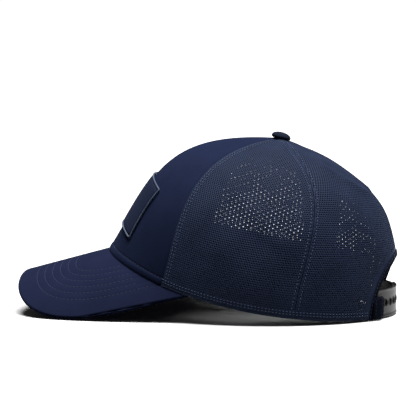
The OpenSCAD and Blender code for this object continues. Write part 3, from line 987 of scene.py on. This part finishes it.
def hem_lattice():
    """The turned-up hem: a strip from the arch to the front seam, 6.5 mm high."""
    angle, rise, cells, is_open = gore_lattice(
        lambda r: np.full(np.shape(r), hem_start), lambda r: np.full(np.shape(r), front_seam(0.0)),
        0.0, hem_rise,
    )
    hem_top = rise_at(angle, rim_z(angle) + hem_height)
    return angle, panel_foot + rise / hem_rise * (hem_top - panel_foot), cells, is_open


hem = hem_lattice()
hem_depth = 1.95 * MM
# The hem fold takes the darker copy of the knit, which is painted shade, not another cloth.
left_hem = knit_piece("left_hem_fold", [(hem, hem_depth)], False, shaded_hem_knit)
right_hem = knit_piece("right_hem_fold", [(hem, hem_depth)], True, shaded_hem_knit)

# %% [markdown]
# ## Tapes and sweatband
# Inside, a woven tape covers each seam and a folded cotton band runs round the foot, open at
# the arch. Both show through the mesh as darker areas. They are thin closed sheets with a
# slightly crowned face and a rolled upper edge.

# %% Seam tapes
tape_half_width, tape_outer, tape_inner = 5.5 * MM, 1.1 * MM, 1.45 * MM
tape_top, above_arch = 0.986, 0.035


def tape(name, seam, foot):
    """A woven tape over a seam, pinched towards the apex."""
    u, v = grid(np.linspace(-1, 1, 9), np.linspace(0, 1, 90))
    rise = mix(foot, tape_top, v)
    middle = seam(rise)
    p = crown_point(middle, rise)
    reach = np.hypot(p[..., 0], p[..., 1] - apex_back)
    half = np.minimum(np.degrees(tape_half_width / reach), 28)
    angle = middle + u * half
    crown = 0.25 * MM * (1 - u**2)
    return report(dress(closed_sheet(
        name, crown_at(angle, rise, tape_outer + 0 * u), crown_at(angle, rise, tape_inner + crown)
    ), tape_cloth))


tape_lines = [
    ("front_left_seam_tape", front_seam, panel_foot),
    ("front_right_seam_tape", lambda r: 360 - front_seam(r), panel_foot),
    ("rear_left_seam_tape", rear_seam, panel_foot),
    ("rear_right_seam_tape", lambda r: 360 - rear_seam(r), panel_foot),
    ("centre_back_seam_tape", lambda r: 0 * r, arch_rise + above_arch),
]
tapes = [tape(*line) for line in tape_lines]

# %% Sweatband
band_start, band_height = 37, 38 * MM
band_outer, band_inner = 2.95 * MM, 3.9 * MM


def band_place(u, v):
    angle = mix(band_start, 360 - band_start, u)
    return angle, mix(panel_foot, rise_at(angle, rim_z(angle) + band_height), v)


u, v = grid(np.linspace(0, 1, 181), np.linspace(0, 1, 41))
angle, rise = band_place(u, v)
rolled_edge = 0.45 * MM * np.exp(-(((v - 0.97) / 0.04) ** 2))
quilted = 0.25 * MM * np.cos(2 * np.pi * v * 3) * (v < 0.85) + 0.12 * MM * np.sin(angle * 0.9)
sweatband = closed_sheet(
    "sweatband_fold", crown_at(angle, rise, band_outer + 0 * u),
    crown_at(angle, rise, band_inner + rolled_edge + quilted),
)
report(dress(sweatband, band_cloth))
band_flat = flat_size(crown_at(angle, rise, 3.5 * MM))
print("sweatband cut:", band_flat)

# %% [markdown]
# ## The visor
# A bent board is wrapped in two covers, sewn together round its edge and quilted through with
# six parallel rows of stitches. Between the rows the cloth stands a little proud. The distance
# of each point from the outer edge, measured on the flat cover, drives that relief and the
# place of the rows, so the rows follow the edge as the real ones do.

# %% Visor outline and surface
visor_half_width, visor_reach, visor_side_y, visor_power = 0.0925, 0.106, -0.062, 2.9
visor_thick, rim_roll, cover_thick, quilt_depth = 3.4 * MM, 1.5 * MM, 0.65 * MM, 0.16 * MM
thread_depth, crown_clearance = 0.08 * MM, 1.045
row_first, row_step, row_count = 14 * MM, 5.6 * MM, 6


def visor_outline(b):
    """The outer edge on the flat cover, for b from -90 to 90 degrees."""
    s, c = np.sin(np.radians(b)), np.cos(np.radians(b))
    width = visor_half_width * np.sign(s) * np.abs(s) ** (2 / visor_power)
    return np.stack([width, visor_side_y - visor_reach * np.maximum(c, 0) ** (2 / visor_power)], -1)


def bent(flat):
    """A point of the flat cover (width, y) on the bent visor."""
    x = visor_bend_r * np.sin(flat[..., 0] / visor_bend_r)
    return np.stack([x, flat[..., 1], visor_z(x, flat[..., 1])], -1)


def visor_out(flat):
    x = visor_bend_r * np.sin(flat[..., 0] / visor_bend_r)
    bend = np.sqrt(visor_bend_r**2 - x * x)
    return unit(np.stack([x / bend, np.full(x.shape, -visor_slope), np.ones(x.shape)], -1))


fine_edge = visor_outline(np.degrees(np.arcsin(np.linspace(-1, 1, 1201))))


def from_edge(flat):
    """Distance from the outer edge on the flat cover."""
    shape = flat.shape[:-1]
    p = flat.reshape(-1, 1, 2)
    nearest = np.full(len(p), 1.0)
    for part in np.array_split(fine_edge, 12):
        nearest = np.minimum(nearest, np.linalg.norm(p - part[None], axis=-1).min(1))
    return nearest.reshape(shape)


def visor_grid(columns, rows, inset=0.6 * MM):
    """Flat cover points: across from edge to edge, and out from the crown to the outer edge."""
    b = np.degrees(np.arcsin(np.linspace(-1, 1, columns + 1)))
    share = np.linspace(0, 1, columns + 1)
    outer = visor_outline(b)
    turn = mix(360 - visor_end_angle, visor_end_angle, share)
    shrink = 1 - inset / opening_half_width
    x, y = rim_x(turn) * shrink, rim_y(turn) * shrink
    inner = np.stack([visor_bend_r * np.arcsin(x / visor_bend_r), y], -1)
    v = 1 - (1 - np.linspace(0, 1, rows + 1)) ** 1.15
    return mix(inner[None], outer[None], v[:, None, None])


def quilting(distance):
    """How far the cover stands proud between rows of stitches, and sinks at them."""
    rows = (distance - row_first) / row_step
    inside = np.clip(rows + 1, 0, 1) * np.clip(row_count - rows, 0, 1)
    nearest = np.abs(rows - np.clip(np.round(rows), 0, row_count - 1)) * row_step
    return (quilt_depth * ease(nearest / (1.6 * MM)) - quilt_depth) * ease(inside)


def from_ends(flat):
    """Distance from the two lines that end the visor beside the crown."""
    nearest = np.full(flat.shape[:-1], 1.0)
    for side in (0, -1):
        inner, outer = flat[0, side], flat[-1, side]
        way = unit(outer - inner)
        gap = np.abs((flat[..., 0] - inner[0]) * way[1] - (flat[..., 1] - inner[1]) * way[0])
        nearest = np.minimum(nearest, gap)
    return nearest


cover = visor_grid(190, 84)
cover_edge = from_edge(cover)
cover_rim = np.minimum(cover_edge, from_ends(cover))
print("visor: widest", round(float(np.ptp(cover[..., 0])), 4), "m, reach at the middle",
      round(float(cover[0, 95, 1] - cover[-1, 95, 1]), 4), "m")


# %% Visor covers and board
def cover_sheet(name, side, flat, distance, rim):
    """One cover: side 1 for the top, -1 for underneath. Its rim rolls round the board."""
    out, base = visor_out(flat), bent(flat)
    middle = base - out * visor_thick / 2
    edge = np.clip(1 - rim / rim_roll, 0, 1)
    half = (visor_thick / 2 - 0.03 * MM) * np.sqrt(np.maximum(1 - edge**2.2, 0)) + 0.04 * MM
    face = middle + out * side * (half + quilting(distance))[..., None]
    skin = np.minimum(cover_thick, half - 0.02 * MM)
    back = middle + out * side * (half - skin)[..., None]
    return closed_sheet(name, face, back)


visor_top = report(dress(cover_sheet("visor_top_twill", 1, cover, cover_edge, cover_rim), visor_cloth))
visor_under = report(dress(cover_sheet("visor_under_twill", -1, cover, cover_edge, cover_rim), visor_cloth))
visor_flat = flat_size(np.concatenate([cover, 0 * cover[..., :1]], -1))
print("visor cover cut:", visor_flat)


# %% Rows of stitches on the visor
def offset_row(distance, side):
    """A row of stitches at a distance in from the outer edge, ending short of the crown."""
    edge = visor_outline(np.degrees(np.arcsin(np.linspace(-1, 1, 2001) * 0.99999)))
    step = unit(np.gradient(edge, axis=0))
    row = edge + np.stack([-step[:, 1], step[:, 0]], -1) * distance
    keep = from_edge(row) > distance * 0.985
    x = visor_bend_r * np.sin(row[:, 0] / visor_bend_r)
    keep &= (x / opening_half_width) ** 2 + (row[:, 1] / opening_half_length) ** 2 > crown_clearance
    keep &= row[:, 1] < visor_end_y - 2 * MM
    row = row[keep]
    out = visor_out(row)
    depth = thread_depth if side > 0 else visor_thick - thread_depth
    return bent(row) - out * depth, out * side


rows = [row_first + i * row_step for i in range(row_count)]
visor_rows = sew(
    "visor_top_stitching", [offset_row(d, 1) for d in rows], seam_thread, 3.1, 2.5, 0.55, 0.42
)
under_rows = sew(
    "visor_under_stitching", [offset_row(d, -1) for d in rows], seam_thread, 3.1, 2.5, 0.5, 0.36
)

# %% [markdown]
# ## The bound arch and its tabs
# A folded strip of cloth binds the arch's raw mesh. Its section is a U, carried along the edge
# of the arch and turned so that its legs follow the crown. At each foot a small tab is sewn on
# over the binding, and drops onto the end of the closure.

# %% Binding of the arch
def arch_place(f):
    c, s = np.cos(np.pi * f), np.sin(np.pi * f)
    angle = arch_foot_angle * np.sign(c) * np.abs(c) ** (2 / arch_power)
    return angle, arch_rise * np.abs(s) ** (2 / arch_power)


def arch_steps(count):
    """Fractions along the arch at even lengths."""
    f = np.linspace(0, 1, 2001)
    length = along(crown_point(*arch_place(f))[None], 1)[0]
    return np.interp(np.linspace(0, length[-1], count), length, f)


def u_section(reach, skin, outside, inside, nose):
    """A folded strip: (way into the cloth, depth) points round its closed section."""
    middle, half = (outside + inside) / 2, (inside - outside) / 2
    t = np.radians(np.linspace(90, 270, 11))
    outer = [(nose * np.cos(a), middle - (half + skin) * np.sin(a)) for a in t]
    inner = [((nose - skin) * np.cos(a), middle - half * np.sin(a)) for a in t[::-1]]
    legs_in = [(reach * f, outside) for f in (0.5, 0.96)]
    legs_out = [
        (reach, outside - skin * 0.5), (reach * 0.97, outside - skin), (reach * 0.5, outside - skin),
    ]
    low_out = [(reach * 0.5, inside + skin), (reach * 0.97, inside + skin), (reach, inside + skin * 0.5)]
    low_in = [(reach * f, inside) for f in (0.96, 0.5)]
    return np.array(legs_in + legs_out + outer + low_out + low_in + inner)


arch_f = arch_steps(140)
section = u_section(3.6 * MM, 0.42 * MM, -0.08 * MM, 1.2 * MM, 0.85 * MM)


def arch_frame(f):
    angle, rise = arch_place(f)
    before = crown_at(*arch_place(np.maximum(f - 0.006, 0)))
    after = crown_at(*arch_place(np.minimum(f + 0.006, 1)))
    out = crown_normal(angle, rise)
    into = unit(np.cross(out, after - before))
    return crown_at(angle, rise), into, out


p, into, out = arch_frame(arch_f)
sag = section[:, 0] ** 2 / (2 * 45 * MM)
pucker = 1 + 0.12 * np.sin(np.arange(len(arch_f)) * 1.15)
rings = (
    p[:, None] + into[:, None] * section[None, :, :1]
    - out[:, None] * ((section[:, 1] + sag)[None, :, None] + (pucker[:, None] - 1)[..., None] * 0.4 * MM)
)
arch_binding = report(dress(swept("arch_edge_binding", rings, crisp=60), binding_cloth))
binding_row = sew("arch_stitching", [(
    p + into * 2.7 * MM + out * 0.36 * MM, out
)], seam_thread, 2.6, 2.0, 0.45, 0.4)
binding_length = float(along(p[None], 1)[0, -1])
print("binding length", round(binding_length, 4), "m")

# %% Tabs at the feet of the arch
tab_free, tab_sewn, tab_low, tab_high = 21.3, 31.0, 0.8 * MM, 16.5 * MM


def tab_place(u, v):
    """Angle, rise and depth on a tab, whose top has round shoulders. It drops onto the strap."""
    angle = mix(tab_free, tab_sewn, u)
    shoulder_drop = 3.5 * MM * (1 - np.sqrt(np.maximum(1 - np.abs(2 * u - 1) ** 3.2, 0)))
    rise = rise_at(angle, mix(tab_low, tab_high - shoulder_drop, v))
    return angle, rise, mix(-1.95, 0.3, 1 - ease((angle - 23) / 3)) * MM


def tab_sheet(name, mirror):
    u, v = grid(np.linspace(0, 1, 41), np.linspace(0, 1, 41))
    angle, rise, top = tab_place(u, v)
    edge = np.minimum(np.minimum(u, 1 - u) * 15, np.minimum(v, 1 - v) * 16)
    turn = 0.25 * MM * (1 - ease(edge / 0.8))
    puff = 0.12 * MM * ease((edge - 1.4) / 1.2)
    turned = 360 - angle if mirror else angle
    tab = closed_sheet(
        name, crown_at(turned, rise, top + turn - puff), crown_at(turned, rise, top + 0.8 * MM - turn * 0.6)
    )
    box = [(0.12, 0.06), (0.12, 0.86), (0.3, 0.93), (0.7, 0.93), (0.88, 0.86), (0.88, 0.06), (0.12, 0.06)]
    steps = np.linspace(0, 6, 121)
    at, up, low = tab_place(*(np.interp(steps, range(7), [c[k] for c in box]) for k in (0, 1)))
    way = 360 - at if mirror else at
    return report(dress(tab, binding_cloth)), (crown_at(way, up, low - 0.12 * MM), crown_normal(way, up))


left_tab, left_box = tab_sheet("left_closure_tab", False)
right_tab, right_box = tab_sheet("right_closure_tab", True)
tab_rows = sew("tab_stitching", [left_box, right_box], dark_thread, 2.2, 1.8, 0.42, 0.34)

# %% [markdown]
# ## The snap closure
# Each strap is one moulding: a band with raised rims and a round end. The strap on the left has
# seven holes, and the one on the right has four pegs that press into them. The band is swept
# round its arc, and the holes are cut with a Boolean, which suits a thin even wall. Each strap
# is one continuous piece, so it stands for its root and its arm.

# %% Straps
strap_r, strap_thick, strap_low, strap_height = 61.5 * MM, 1.2 * MM, 0.6 * MM, 20 * MM
strap_centre_y = opening_half_length - 0.0622
pitch_angle = math.degrees(0.0075 / strap_r)
first_hole = 3.5 * pitch_angle
root_angle, end_margin = 42, 5
hole_radius, hole_count, peg_count, round_sides = 2.4 * MM, 7, 4, 28
strap_middle = strap_low + strap_height / 2


def on_arc(angle, radius, z, way=1):
    a = np.radians(angle)
    x, y = way * radius * np.sin(a), strap_centre_y + radius * np.cos(a)
    return np.stack(np.broadcast_arrays(x, y, z), -1)


def strap_band(name, free_angle, outer_r, rim, way):
    """A band from its sewn root to a round end, with soft raised rims at both edges."""
    end_r = strap_height * 0.56
    end_centre = free_angle + math.degrees(end_r / outer_r)
    tip = np.sin(np.linspace(0, math.pi / 2, 22))
    round_end = end_centre - (end_centre - free_angle) * tip[1:] * 0.9995
    angles = np.concatenate([np.linspace(root_angle, end_centre, 64), round_end])
    past = np.clip(np.radians(end_centre - angles) * outer_r, 0, None)
    half = np.minimum(np.sqrt(np.maximum(end_r**2 - past**2, 0)), strap_height / 2)
    edge = np.array([0, 0.25, 0.6, 1.2, 1.55, 1.8]) * MM
    outer, inner = [], []
    for angle, reach in zip(angles, half):
        near = np.minimum(edge, reach * np.linspace(0, 0.9, len(edge)))
        flat_part = np.linspace(-0.8, 0.8, 7) * max(reach - near[-1], 0)
        across = np.concatenate([-reach + near, flat_part, (reach - near)[::-1]])
        from_rim = reach - np.abs(across)
        proud = rim * (1 - ease((from_rim - 1.2 * MM) / (0.5 * MM)))
        soft = 0.22 * MM * (1 - ease(from_rim / (0.45 * MM)))
        outer.append(on_arc(angle, outer_r + proud - soft, strap_middle + across, way))
        inner.append(on_arc(angle, outer_r - strap_thick + soft, strap_middle + across, way))
    return closed_sheet(name, np.array(outer), np.array(inner), crisp=50)


def round_about(axis, sides):
    """A level axis as a unit vector, and the ways out from it all round."""
    axis = unit(axis)
    first = unit(np.cross(axis, (0.0, 0.0, 1.0)))
    a = np.linspace(0, 2 * np.pi, sides, endpoint=False)[:, None]
    return axis, np.cos(a) * first + np.sin(a) * np.cross(axis, first)


def lathe(name, profile, centre, axis, sides=24):
    """A closed round shape: (radius, height) points turned about an axis through a centre."""
    axis, ring = round_about(axis, sides)
    rings = np.array([centre + axis * h + ring * max(r, 1e-6) for r, h in profile])
    return swept(name, rings, crisp=40)


def join(pieces):
    """Several objects as the first one."""
    with bpy.context.temp_override(active_object=pieces[0], selected_editable_objects=pieces):
        bpy.ops.object.join()
    return pieces[0]


def cut(piece, tools):
    """Cuts the tools out of a piece for good."""
    for tool in tools:
        modifier = piece.modifiers.new("cut", "BOOLEAN")
        modifier.operation, modifier.solver, modifier.object = "DIFFERENCE", "EXACT", tool
        evaluated = piece.evaluated_get(bpy.context.evaluated_depsgraph_get())
        mesh = bpy.data.meshes.new_from_object(evaluated)
        piece.modifiers.remove(modifier)
        piece.data = mesh
        bpy.data.objects.remove(tool)
    piece.data.set_sharp_from_angle(angle=math.radians(50))
    return piece


def arc_way(angle, way=1):
    a = math.radians(angle)
    return np.array([way * math.sin(a), math.cos(a), 0.0])


hole_angles = [first_hole - i * pitch_angle for i in range(hole_count)]
hole_strap = strap_band("hole_strap_moulding", hole_angles[-1] - end_margin, strap_r, 0.3 * MM, 1)
drill = [(hole_radius, -3 * MM), (hole_radius, 3 * MM)]
cut(hole_strap, [
    lathe(f"cutter_{i}", drill, on_arc(a, strap_r, strap_middle), arc_way(a), round_sides)
    for i, a in enumerate(hole_angles)
])
collar = [(2.5, -0.2), (3.1, -0.2), (3.15, 0.05), (2.95, 0.22), (2.65, 0.22), (2.5, 0.05)]


def ring_piece(name, profile, centre, axis):
    """A ring turned from a closed profile of (radius, height) in millimetres."""
    axis, ring = round_about(axis, round_sides)
    rings = np.array([[centre + axis * h * MM + r * MM * way for r, h in profile] for way in ring])
    return swept(name, rings, shut=True, crisp=60)


join([hole_strap] + [
    ring_piece(f"collar_{i}", collar, on_arc(a, strap_r, strap_middle), arc_way(a))
    for i, a in enumerate(hole_angles)
])
report(dress(hole_strap, strap_plastic))

peg_strap_r = strap_r - strap_thick - 0.4 * MM
peg_angles = [first_hole - i * pitch_angle for i in range(peg_count)]
peg_strap = strap_band("peg_strap_moulding", peg_angles[-1] - end_margin, peg_strap_r, 0.0, -1)
stem = strap_r + 0.1 * MM - peg_strap_r
peg_profile = [
    (0.0, -0.3 * MM), (1.6 * MM, -0.3 * MM), (1.55 * MM, stem - 0.5 * MM), (1.95 * MM, stem - 0.2 * MM),
    (1.95 * MM, stem), (1.6 * MM, stem + 0.25 * MM), (0.9 * MM, stem + 0.38 * MM), (0.0, stem + 0.4 * MM),
]
join([peg_strap] + [
    lathe(f"peg_{i}", peg_profile, on_arc(a, peg_strap_r, strap_middle, -1), arc_way(a, -1))
    for i, a in enumerate(peg_angles)
])
report(dress(peg_strap, strap_plastic))

# %% [markdown]
# ## The patch and its satin edge
# The patch is a plain woven rectangle, stiffened so that it stands a little proud. Round it
# runs a padded cord covered in satin stitches: hundreds of short parallel threads laid across
# the cord. A tube makes the cord, and the stitch tree, turned a quarter, lays the threads.

# %% Patch
patch_half_width, patch_low, patch_high, patch_bow = 41 * MM, 56 * MM, 88.5 * MM, 9 * MM


def front_at(x, z):
    """Angle and rise of the crown's point at that x and z on the front."""
    angle = 180 - np.degrees(np.arcsin(x / opening_half_width))
    for _ in range(7):
        rise = rise_at(angle, z)
        reach = crown_point(angle, rise)[..., 0]
        near = np.abs(x) < 0.01 * MM
        ratio = np.where(near, 1, x / np.where(near, 1, reach))
        angle = 180 - np.degrees(np.arcsin(np.clip(ratio * np.sin(np.radians(angle)), -1, 1)))
        angle = np.where(near, 180, angle)
    return angle, rise_at(angle, z)


def patch_at(x, z):
    """The same place on the patch, whose level lines bow upwards at the middle."""
    return front_at(x, z + patch_bow * (1 - (x / patch_half_width) ** 2))


patch_middle = (patch_low + patch_high) / 2
a, b = grid(np.linspace(-1, 1, 71), np.linspace(-1, 1, 41))
corner_pull = 0.9 * MM
x = a * (patch_half_width - corner_pull * np.abs(b) ** 14)
z = patch_middle + b * ((patch_high - patch_low) / 2 - corner_pull * np.abs(a) ** 30)
angle, rise = patch_at(x, z)
patch_edge = np.minimum((1 - np.abs(a)) * 41, (1 - np.abs(b)) * 17.2)
patch_turn = 0.5 * MM * (1 - ease(patch_edge / 1.2))
patch = closed_sheet(
    "plain_front_patch", crown_at(angle, rise, patch_turn - 1.6 * MM),
    crown_at(angle, rise, -0.12 * MM + 0 * x),
)
report(dress(patch, patch_cloth))


def patch_outline(grow_by, count):
    """A round-cornered rectangle about the patch, as (x, z) at even steps."""
    corner = 1.3 * MM
    half_w = patch_half_width + grow_by - corner
    half_h = (patch_high - patch_low) / 2 + grow_by - corner
    turns = np.radians(np.linspace(0, 90, 8))
    points = []
    for k, (sx, sz) in enumerate(((1, 1), (-1, 1), (-1, -1), (1, -1))):
        points += [
            (sx * half_w + corner * np.cos(w), sz * half_h + corner * np.sin(w))
            for w in turns + k * np.pi / 2
        ]
    loop = np.array(points + points[:1])
    length = np.concatenate([[0], np.cumsum(np.linalg.norm(np.diff(loop, axis=0), axis=1))])
    at = np.linspace(0, length[-1], count, endpoint=False)
    x, z = np.interp(at, length, loop[:, 0]), patch_middle + np.interp(at, length, loop[:, 1])
    return np.stack([x, z], -1)


cord = patch_outline(0.75 * MM, 300)
angle, rise = patch_at(cord[:, 0], cord[:, 1])
cord_middle, cord_out = crown_at(angle, rise, -1.15 * MM + 0 * rise), crown_normal(angle, rise)
cord_side = unit(np.cross(np.roll(cord_middle, -1, 0) - np.roll(cord_middle, 1, 0), cord_out))
turn = np.radians(np.arange(0, 360, 30))
cord_rings = cord_middle[:, None] + 0.62 * MM * (
    np.cos(turn)[None, :, None] * cord_side[:, None] + np.sin(turn)[None, :, None] * cord_out[:, None]
)
bead = swept("patch_edge_cord", cord_rings, shut=True, crisp=180)
report(dress(bead, satin_thread))
satin_path, satin_out = (np.concatenate([p, p[:1]]) for p in (cord_middle, cord_out))
satin = sew(
    "patch_satin_stitches", [(satin_path + satin_out * 0.12 * MM, satin_out)],
    satin_thread, 0.5, 1.45, 0.46, 1.25, turn=math.pi / 2 - 0.12, sway=0.04,
)

# %% [markdown]
# ## The covered button
# A tin shell under a disc of cloth. The cloth is gathered under the shell, which leaves fine
# radial tucks round the skirt, and a prong holds it through the crown.

# %% Button
button_r, button_height, button_skirt, button_tilt = 7 * MM, 5.2 * MM, 1.9 * MM, math.radians(15)
button_sink = 0.9 * MM
up_axis = np.array([0, math.sin(button_tilt), math.cos(button_tilt)])
side_axis = np.array([1.0, 0, 0])
fore_axis = np.cross(up_axis, side_axis)
apex = np.array([0, apex_back, crown_height])


def button_shape():
    t = np.concatenate([np.linspace(0, 1, 7)[:-1], 1 + np.linspace(0, 1, 17)])
    around = np.linspace(0, 2 * np.pi, 72, endpoint=False)
    outward = np.cos(around)[:, None] * side_axis + np.sin(around)[:, None] * fore_axis
    rings = []
    for s in t:
        quarter = (s if s <= 1 else s - 1) * math.pi / 2
        if s <= 1:
            radius, height = mix(0.62, 1, math.sin(quarter)), button_skirt * (1 - math.cos(quarter))
        else:
            radius = math.cos(quarter)
            height = button_skirt + (button_height - button_skirt) * math.sin(quarter)
        tuck = 0.022 * np.sin(around * 18) * math.exp(-((s - 0.55) / 0.45) ** 2)
        reach = button_r * np.maximum(radius * (1 + tuck), 1e-4)
        rings.append(apex + up_axis * (height - button_sink) + reach[:, None] * outward)
    return swept("covered_button", np.array(rings), crisp=60)


button = report(dress(button_shape(), button_cloth))

# %% [markdown]
# ## Seams that show on the crown
# Over the mesh, the hem and the seams carry rows of stitches in a paler blue thread, and one
# navy row runs 5 mm above the visor. Inside, each tape has a row along both edges, and the sweatband is sewn
# down along its foot and its top.

# %% Rows on the crown
def rise_above(angle, height):
    return rise_at(angle, rim_z(angle) + height)


hem_angles = np.linspace(34, front_seam(0.0) - 1, 160)
hem_rows = [
    crown_path(hem_angles if way > 0 else 360 - hem_angles, rise_above(hem_angles, height), -0.12 * MM)
    for way in (1, -1) for height in (5.6 * MM, 3.8 * MM)
]
brow_angles = np.linspace(front_seam(0.03) + 0.6, 360 - front_seam(0.03) - 0.6, 260)
foot_to_row = np.interp(band_stitch_height, above_visor[:, 60], mix(panel_foot, panel_top, up_steps))
brow_row = crown_path(brow_angles, np.full(260, foot_to_row), 0.1 * MM)
seam_rises = np.linspace(0.04, row_top, 160)


def beside(seam, gap, mirror):
    """A row beside a seam, at a distance in metres on the side that gap points to."""
    here = seam(seam_rises)
    step = np.linalg.norm(crown_point(here + 1, seam_rises) - crown_point(here, seam_rises), axis=-1)
    angle = here + gap / step
    return crown_path(360 - angle if mirror else angle, seam_rises, -0.1 * MM)


crown_rows = sew("brow_stitching", [brow_row], seam_thread, 3.0, 2.2, 0.45, 0.34)
hem_stitching = sew("hem_stitching", hem_rows, mesh_thread, 2.4, 1.5, 0.5, 0.4)
seam_rows = sew("seam_stitching", [
    beside(seam, gap, mirror)
    for seam, gaps in ((rear_seam, (2.4 * MM, -2.4 * MM)), (front_seam, (-2.0 * MM, -4.0 * MM)))
    for gap in gaps
    for mirror in (False, True)
], mesh_thread, 2.4, 1.4, 0.48, 0.36)


def tape_row(seam, foot, way):
    """A row near one edge of a tape, on its inner face."""
    rise = np.linspace(foot + 0.01, row_top, 120)
    middle = seam(rise)
    reach = np.linalg.norm(crown_point(middle, rise)[:, :2] - [0, apex_back], axis=-1)
    angle = middle + way * np.minimum(np.degrees(4.3 * MM / reach), 22)
    return crown_at(angle, rise, 1.6 * MM + 0 * rise), -crown_normal(angle, rise)


tape_rows = sew(
    "tape_stitching", [tape_row(s, f, way) for _, s, f in tape_lines for way in (1, -1)],
    dark_thread, 3.4, 2.6, 0.45, 0.35,
)
band_angles = np.linspace(band_start + 1, 359 - band_start, 300)


def band_row(height, depth):
    """A row on the inner face of the sweatband, at a height above its foot."""
    rise = rise_above(band_angles, height)
    return crown_at(band_angles, rise, depth + 0 * band_angles), -crown_normal(band_angles, rise)


band_rows = sew(
    "sweatband_stitching", [band_row(3.5 * MM, 4.1 * MM), band_row(34.5 * MM, 4.0 * MM)],
    seam_thread, 3.4, 2.6, 0.5, 0.4,
)

# %% [markdown]
# ## What rides on what
# The crown, the visor and all that is sewn to them ride on the cap. Each strap takes the place of
# its root and its arm, and stays baked where it was made, on no body and without a bend.

# %% Bodies, replaced nodes and slots
riders = [
    (front_panel, ["front_panel"], "front_cloth"), (front_stiffener, ["front_stiffener"], "stiffener"),
    (left_side, ["left_side_mesh"], "mesh_cloth"), (right_side, ["right_side_mesh"], "mesh_cloth"),
    (left_rear, ["left_rear_mesh"], "mesh_cloth"), (right_rear, ["right_rear_mesh"], "mesh_cloth"),
    (left_hem, ["left_hem_strip"], "mesh_cloth"), (right_hem, ["right_hem_strip"], "mesh_cloth"),
    (tapes[0], ["front_left_tape"], "tape_cloth"), (tapes[1], ["front_right_tape"], "tape_cloth"),
    (tapes[2], ["rear_left_tape"], "tape_cloth"), (tapes[3], ["rear_right_tape"], "tape_cloth"),
    (tapes[4], ["centre_back_tape"], "tape_cloth"), (sweatband, ["sweatband"], "band_cloth"),
    (visor_top, ["visor_top_cover"], "visor_cloth"), (visor_under, ["visor_under_cover"], "visor_cloth"),
    (arch_binding, ["arch_binding"], "binding_cloth"), (left_tab, ["left_tab"], "binding_cloth"),
    (right_tab, ["right_tab"], "binding_cloth"), (patch, ["front_patch"], "patch_cloth"),
    (bead, ["patch_bead"], "bead_cloth"), (satin, [], "bead_cloth"), (button, ["top_button"], "button_cloth"),
    (visor_rows, [], "visor_cloth"), (under_rows, [], "visor_cloth"), (crown_rows, [], "front_cloth"),
    (hem_stitching, [], "mesh_cloth"), (seam_rows, [], "mesh_cloth"), (tape_rows, [], "tape_cloth"),
    (band_rows, [], "band_cloth"), (binding_row, [], "binding_cloth"), (tab_rows, [], "binding_cloth"),
]
for piece, nodes, slot in riders:
    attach(piece, "cap")
    if nodes:
        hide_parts(*nodes)

bend_from, bend_to = 30.2, 27.8
for piece, nodes, arm, radius, way in (
    (hole_strap, ("hole_strap_root", "hole_strap"), "hole_strap_arm", strap_r, 1),
    (peg_strap, ("peg_strap_root", "peg_strap"), "peg_strap_arm", peg_strap_r, -1),
):
    start, end = on_arc(bend_from, radius, strap_middle, way), on_arc(bend_to, radius, strap_middle, way)
    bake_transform(piece)
    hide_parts(*nodes)

for name, finish in (("visor_board", board), ("button_rivet", tin)):
    dress(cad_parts[name], finish)


# %% Cloth that was cut flat
def gore_flat(low_edge, high_edge):
    rises = np.linspace(panel_foot, panel_top, 80)
    angles = low_edge(rises)[:, None] + (high_edge(rises) - low_edge(rises))[:, None] * np.linspace(0, 1, 40)
    return flat_size(crown_point(angles, rises[:, None]))


side_flat, rear_flat = gore_flat(side_low, side_high), gore_flat(rear_low, rear_high)
half_arch_width, half_arch_fullness = 45.5 * MM, 0.85
half_arch_area = half_arch_fullness * half_arch_width * arch_height
fold_area = 0.0015
print("side gore cut:", side_flat, "rear gore cut:", rear_flat)


def declare(flat, margin=0.0, extra=0.0):
    """Works out how large a piece was before it was sewn, with its seam allowance and folds; the sums are not
    kept or shown.
    """
    width, height, area = flat
    width + 2 * margin
    height + 2 * margin
    area + extra


declare(front_flat)
declare(stiffener_flat)
declare(visor_flat)
declare(visor_flat)
declare(band_flat)
for piece, flat, less, pieces in (
    (left_side, side_flat, 0, [left_hem]), (right_side, side_flat, 0, [right_hem]),
    (left_rear, rear_flat, half_arch_area, []), (right_rear, rear_flat, half_arch_area, []),
):
    declare(flat, allowance, fold_area - less)

# %% [markdown]
# ## Table and light
# A plain white table runs to the horizon. The light is one large soft source overhead, a weak
# fill from all round, and a white backdrop. The table and backdrop are bright to the eye, but
# are kept from throwing their own light back onto the cap, as black flags beside a product
# table do, so the sides of the cap stay deep.

# %% Floor, light and backdrop
floor_mesh = bpy.data.meshes.new("table")
size, floor_z = 40.0, -0.0004
corners = [(x * size, y * size, floor_z) for x, y in ((-1, -1), (1, -1), (1, 1), (-1, 1))]
floor_mesh.from_pydata(corners, [], [(0, 1, 2, 3)])
floor = add_object("table", floor_mesh)
white, start = new_finish("white_table")
dress(floor, close_finish(
    white, start, Base_Color=colour(0.92, 0.92, 0.92), Roughness=0.9, Specular_IOR_Level=0.1
))
floor.visible_diffuse = False

world = bpy.data.worlds.new("studio")
bpy.context.scene.world = world
world.use_nodes = True
world.node_tree.nodes.clear()
start = Wire(world.node_tree)
seen = start.node("ShaderNodeLightPath")
fill, backdrop = 0.036, 1.05
glow = start.node("ShaderNodeBackground", None, {
    "Color": colour(1, 1, 1), "Strength": fill + seen * (backdrop - fill),
})
start.node("ShaderNodeOutputWorld", None, {"Surface": glow})

lamp = bpy.data.lights.new("overhead", "SUN")
lamp.energy, lamp.angle = 5.8, math.radians(38)
overhead = bpy.data.objects.new("overhead", lamp)
bpy.context.scene.collection.objects.link(overhead)
overhead.rotation_euler = (math.radians(-6), math.radians(2), 0)
bpy.context.scene.view_settings.view_transform = "Standard"

# %% Print the solid's box and finish
print("solid box", [[round(v, 4) for v in c] for c in cad_box])
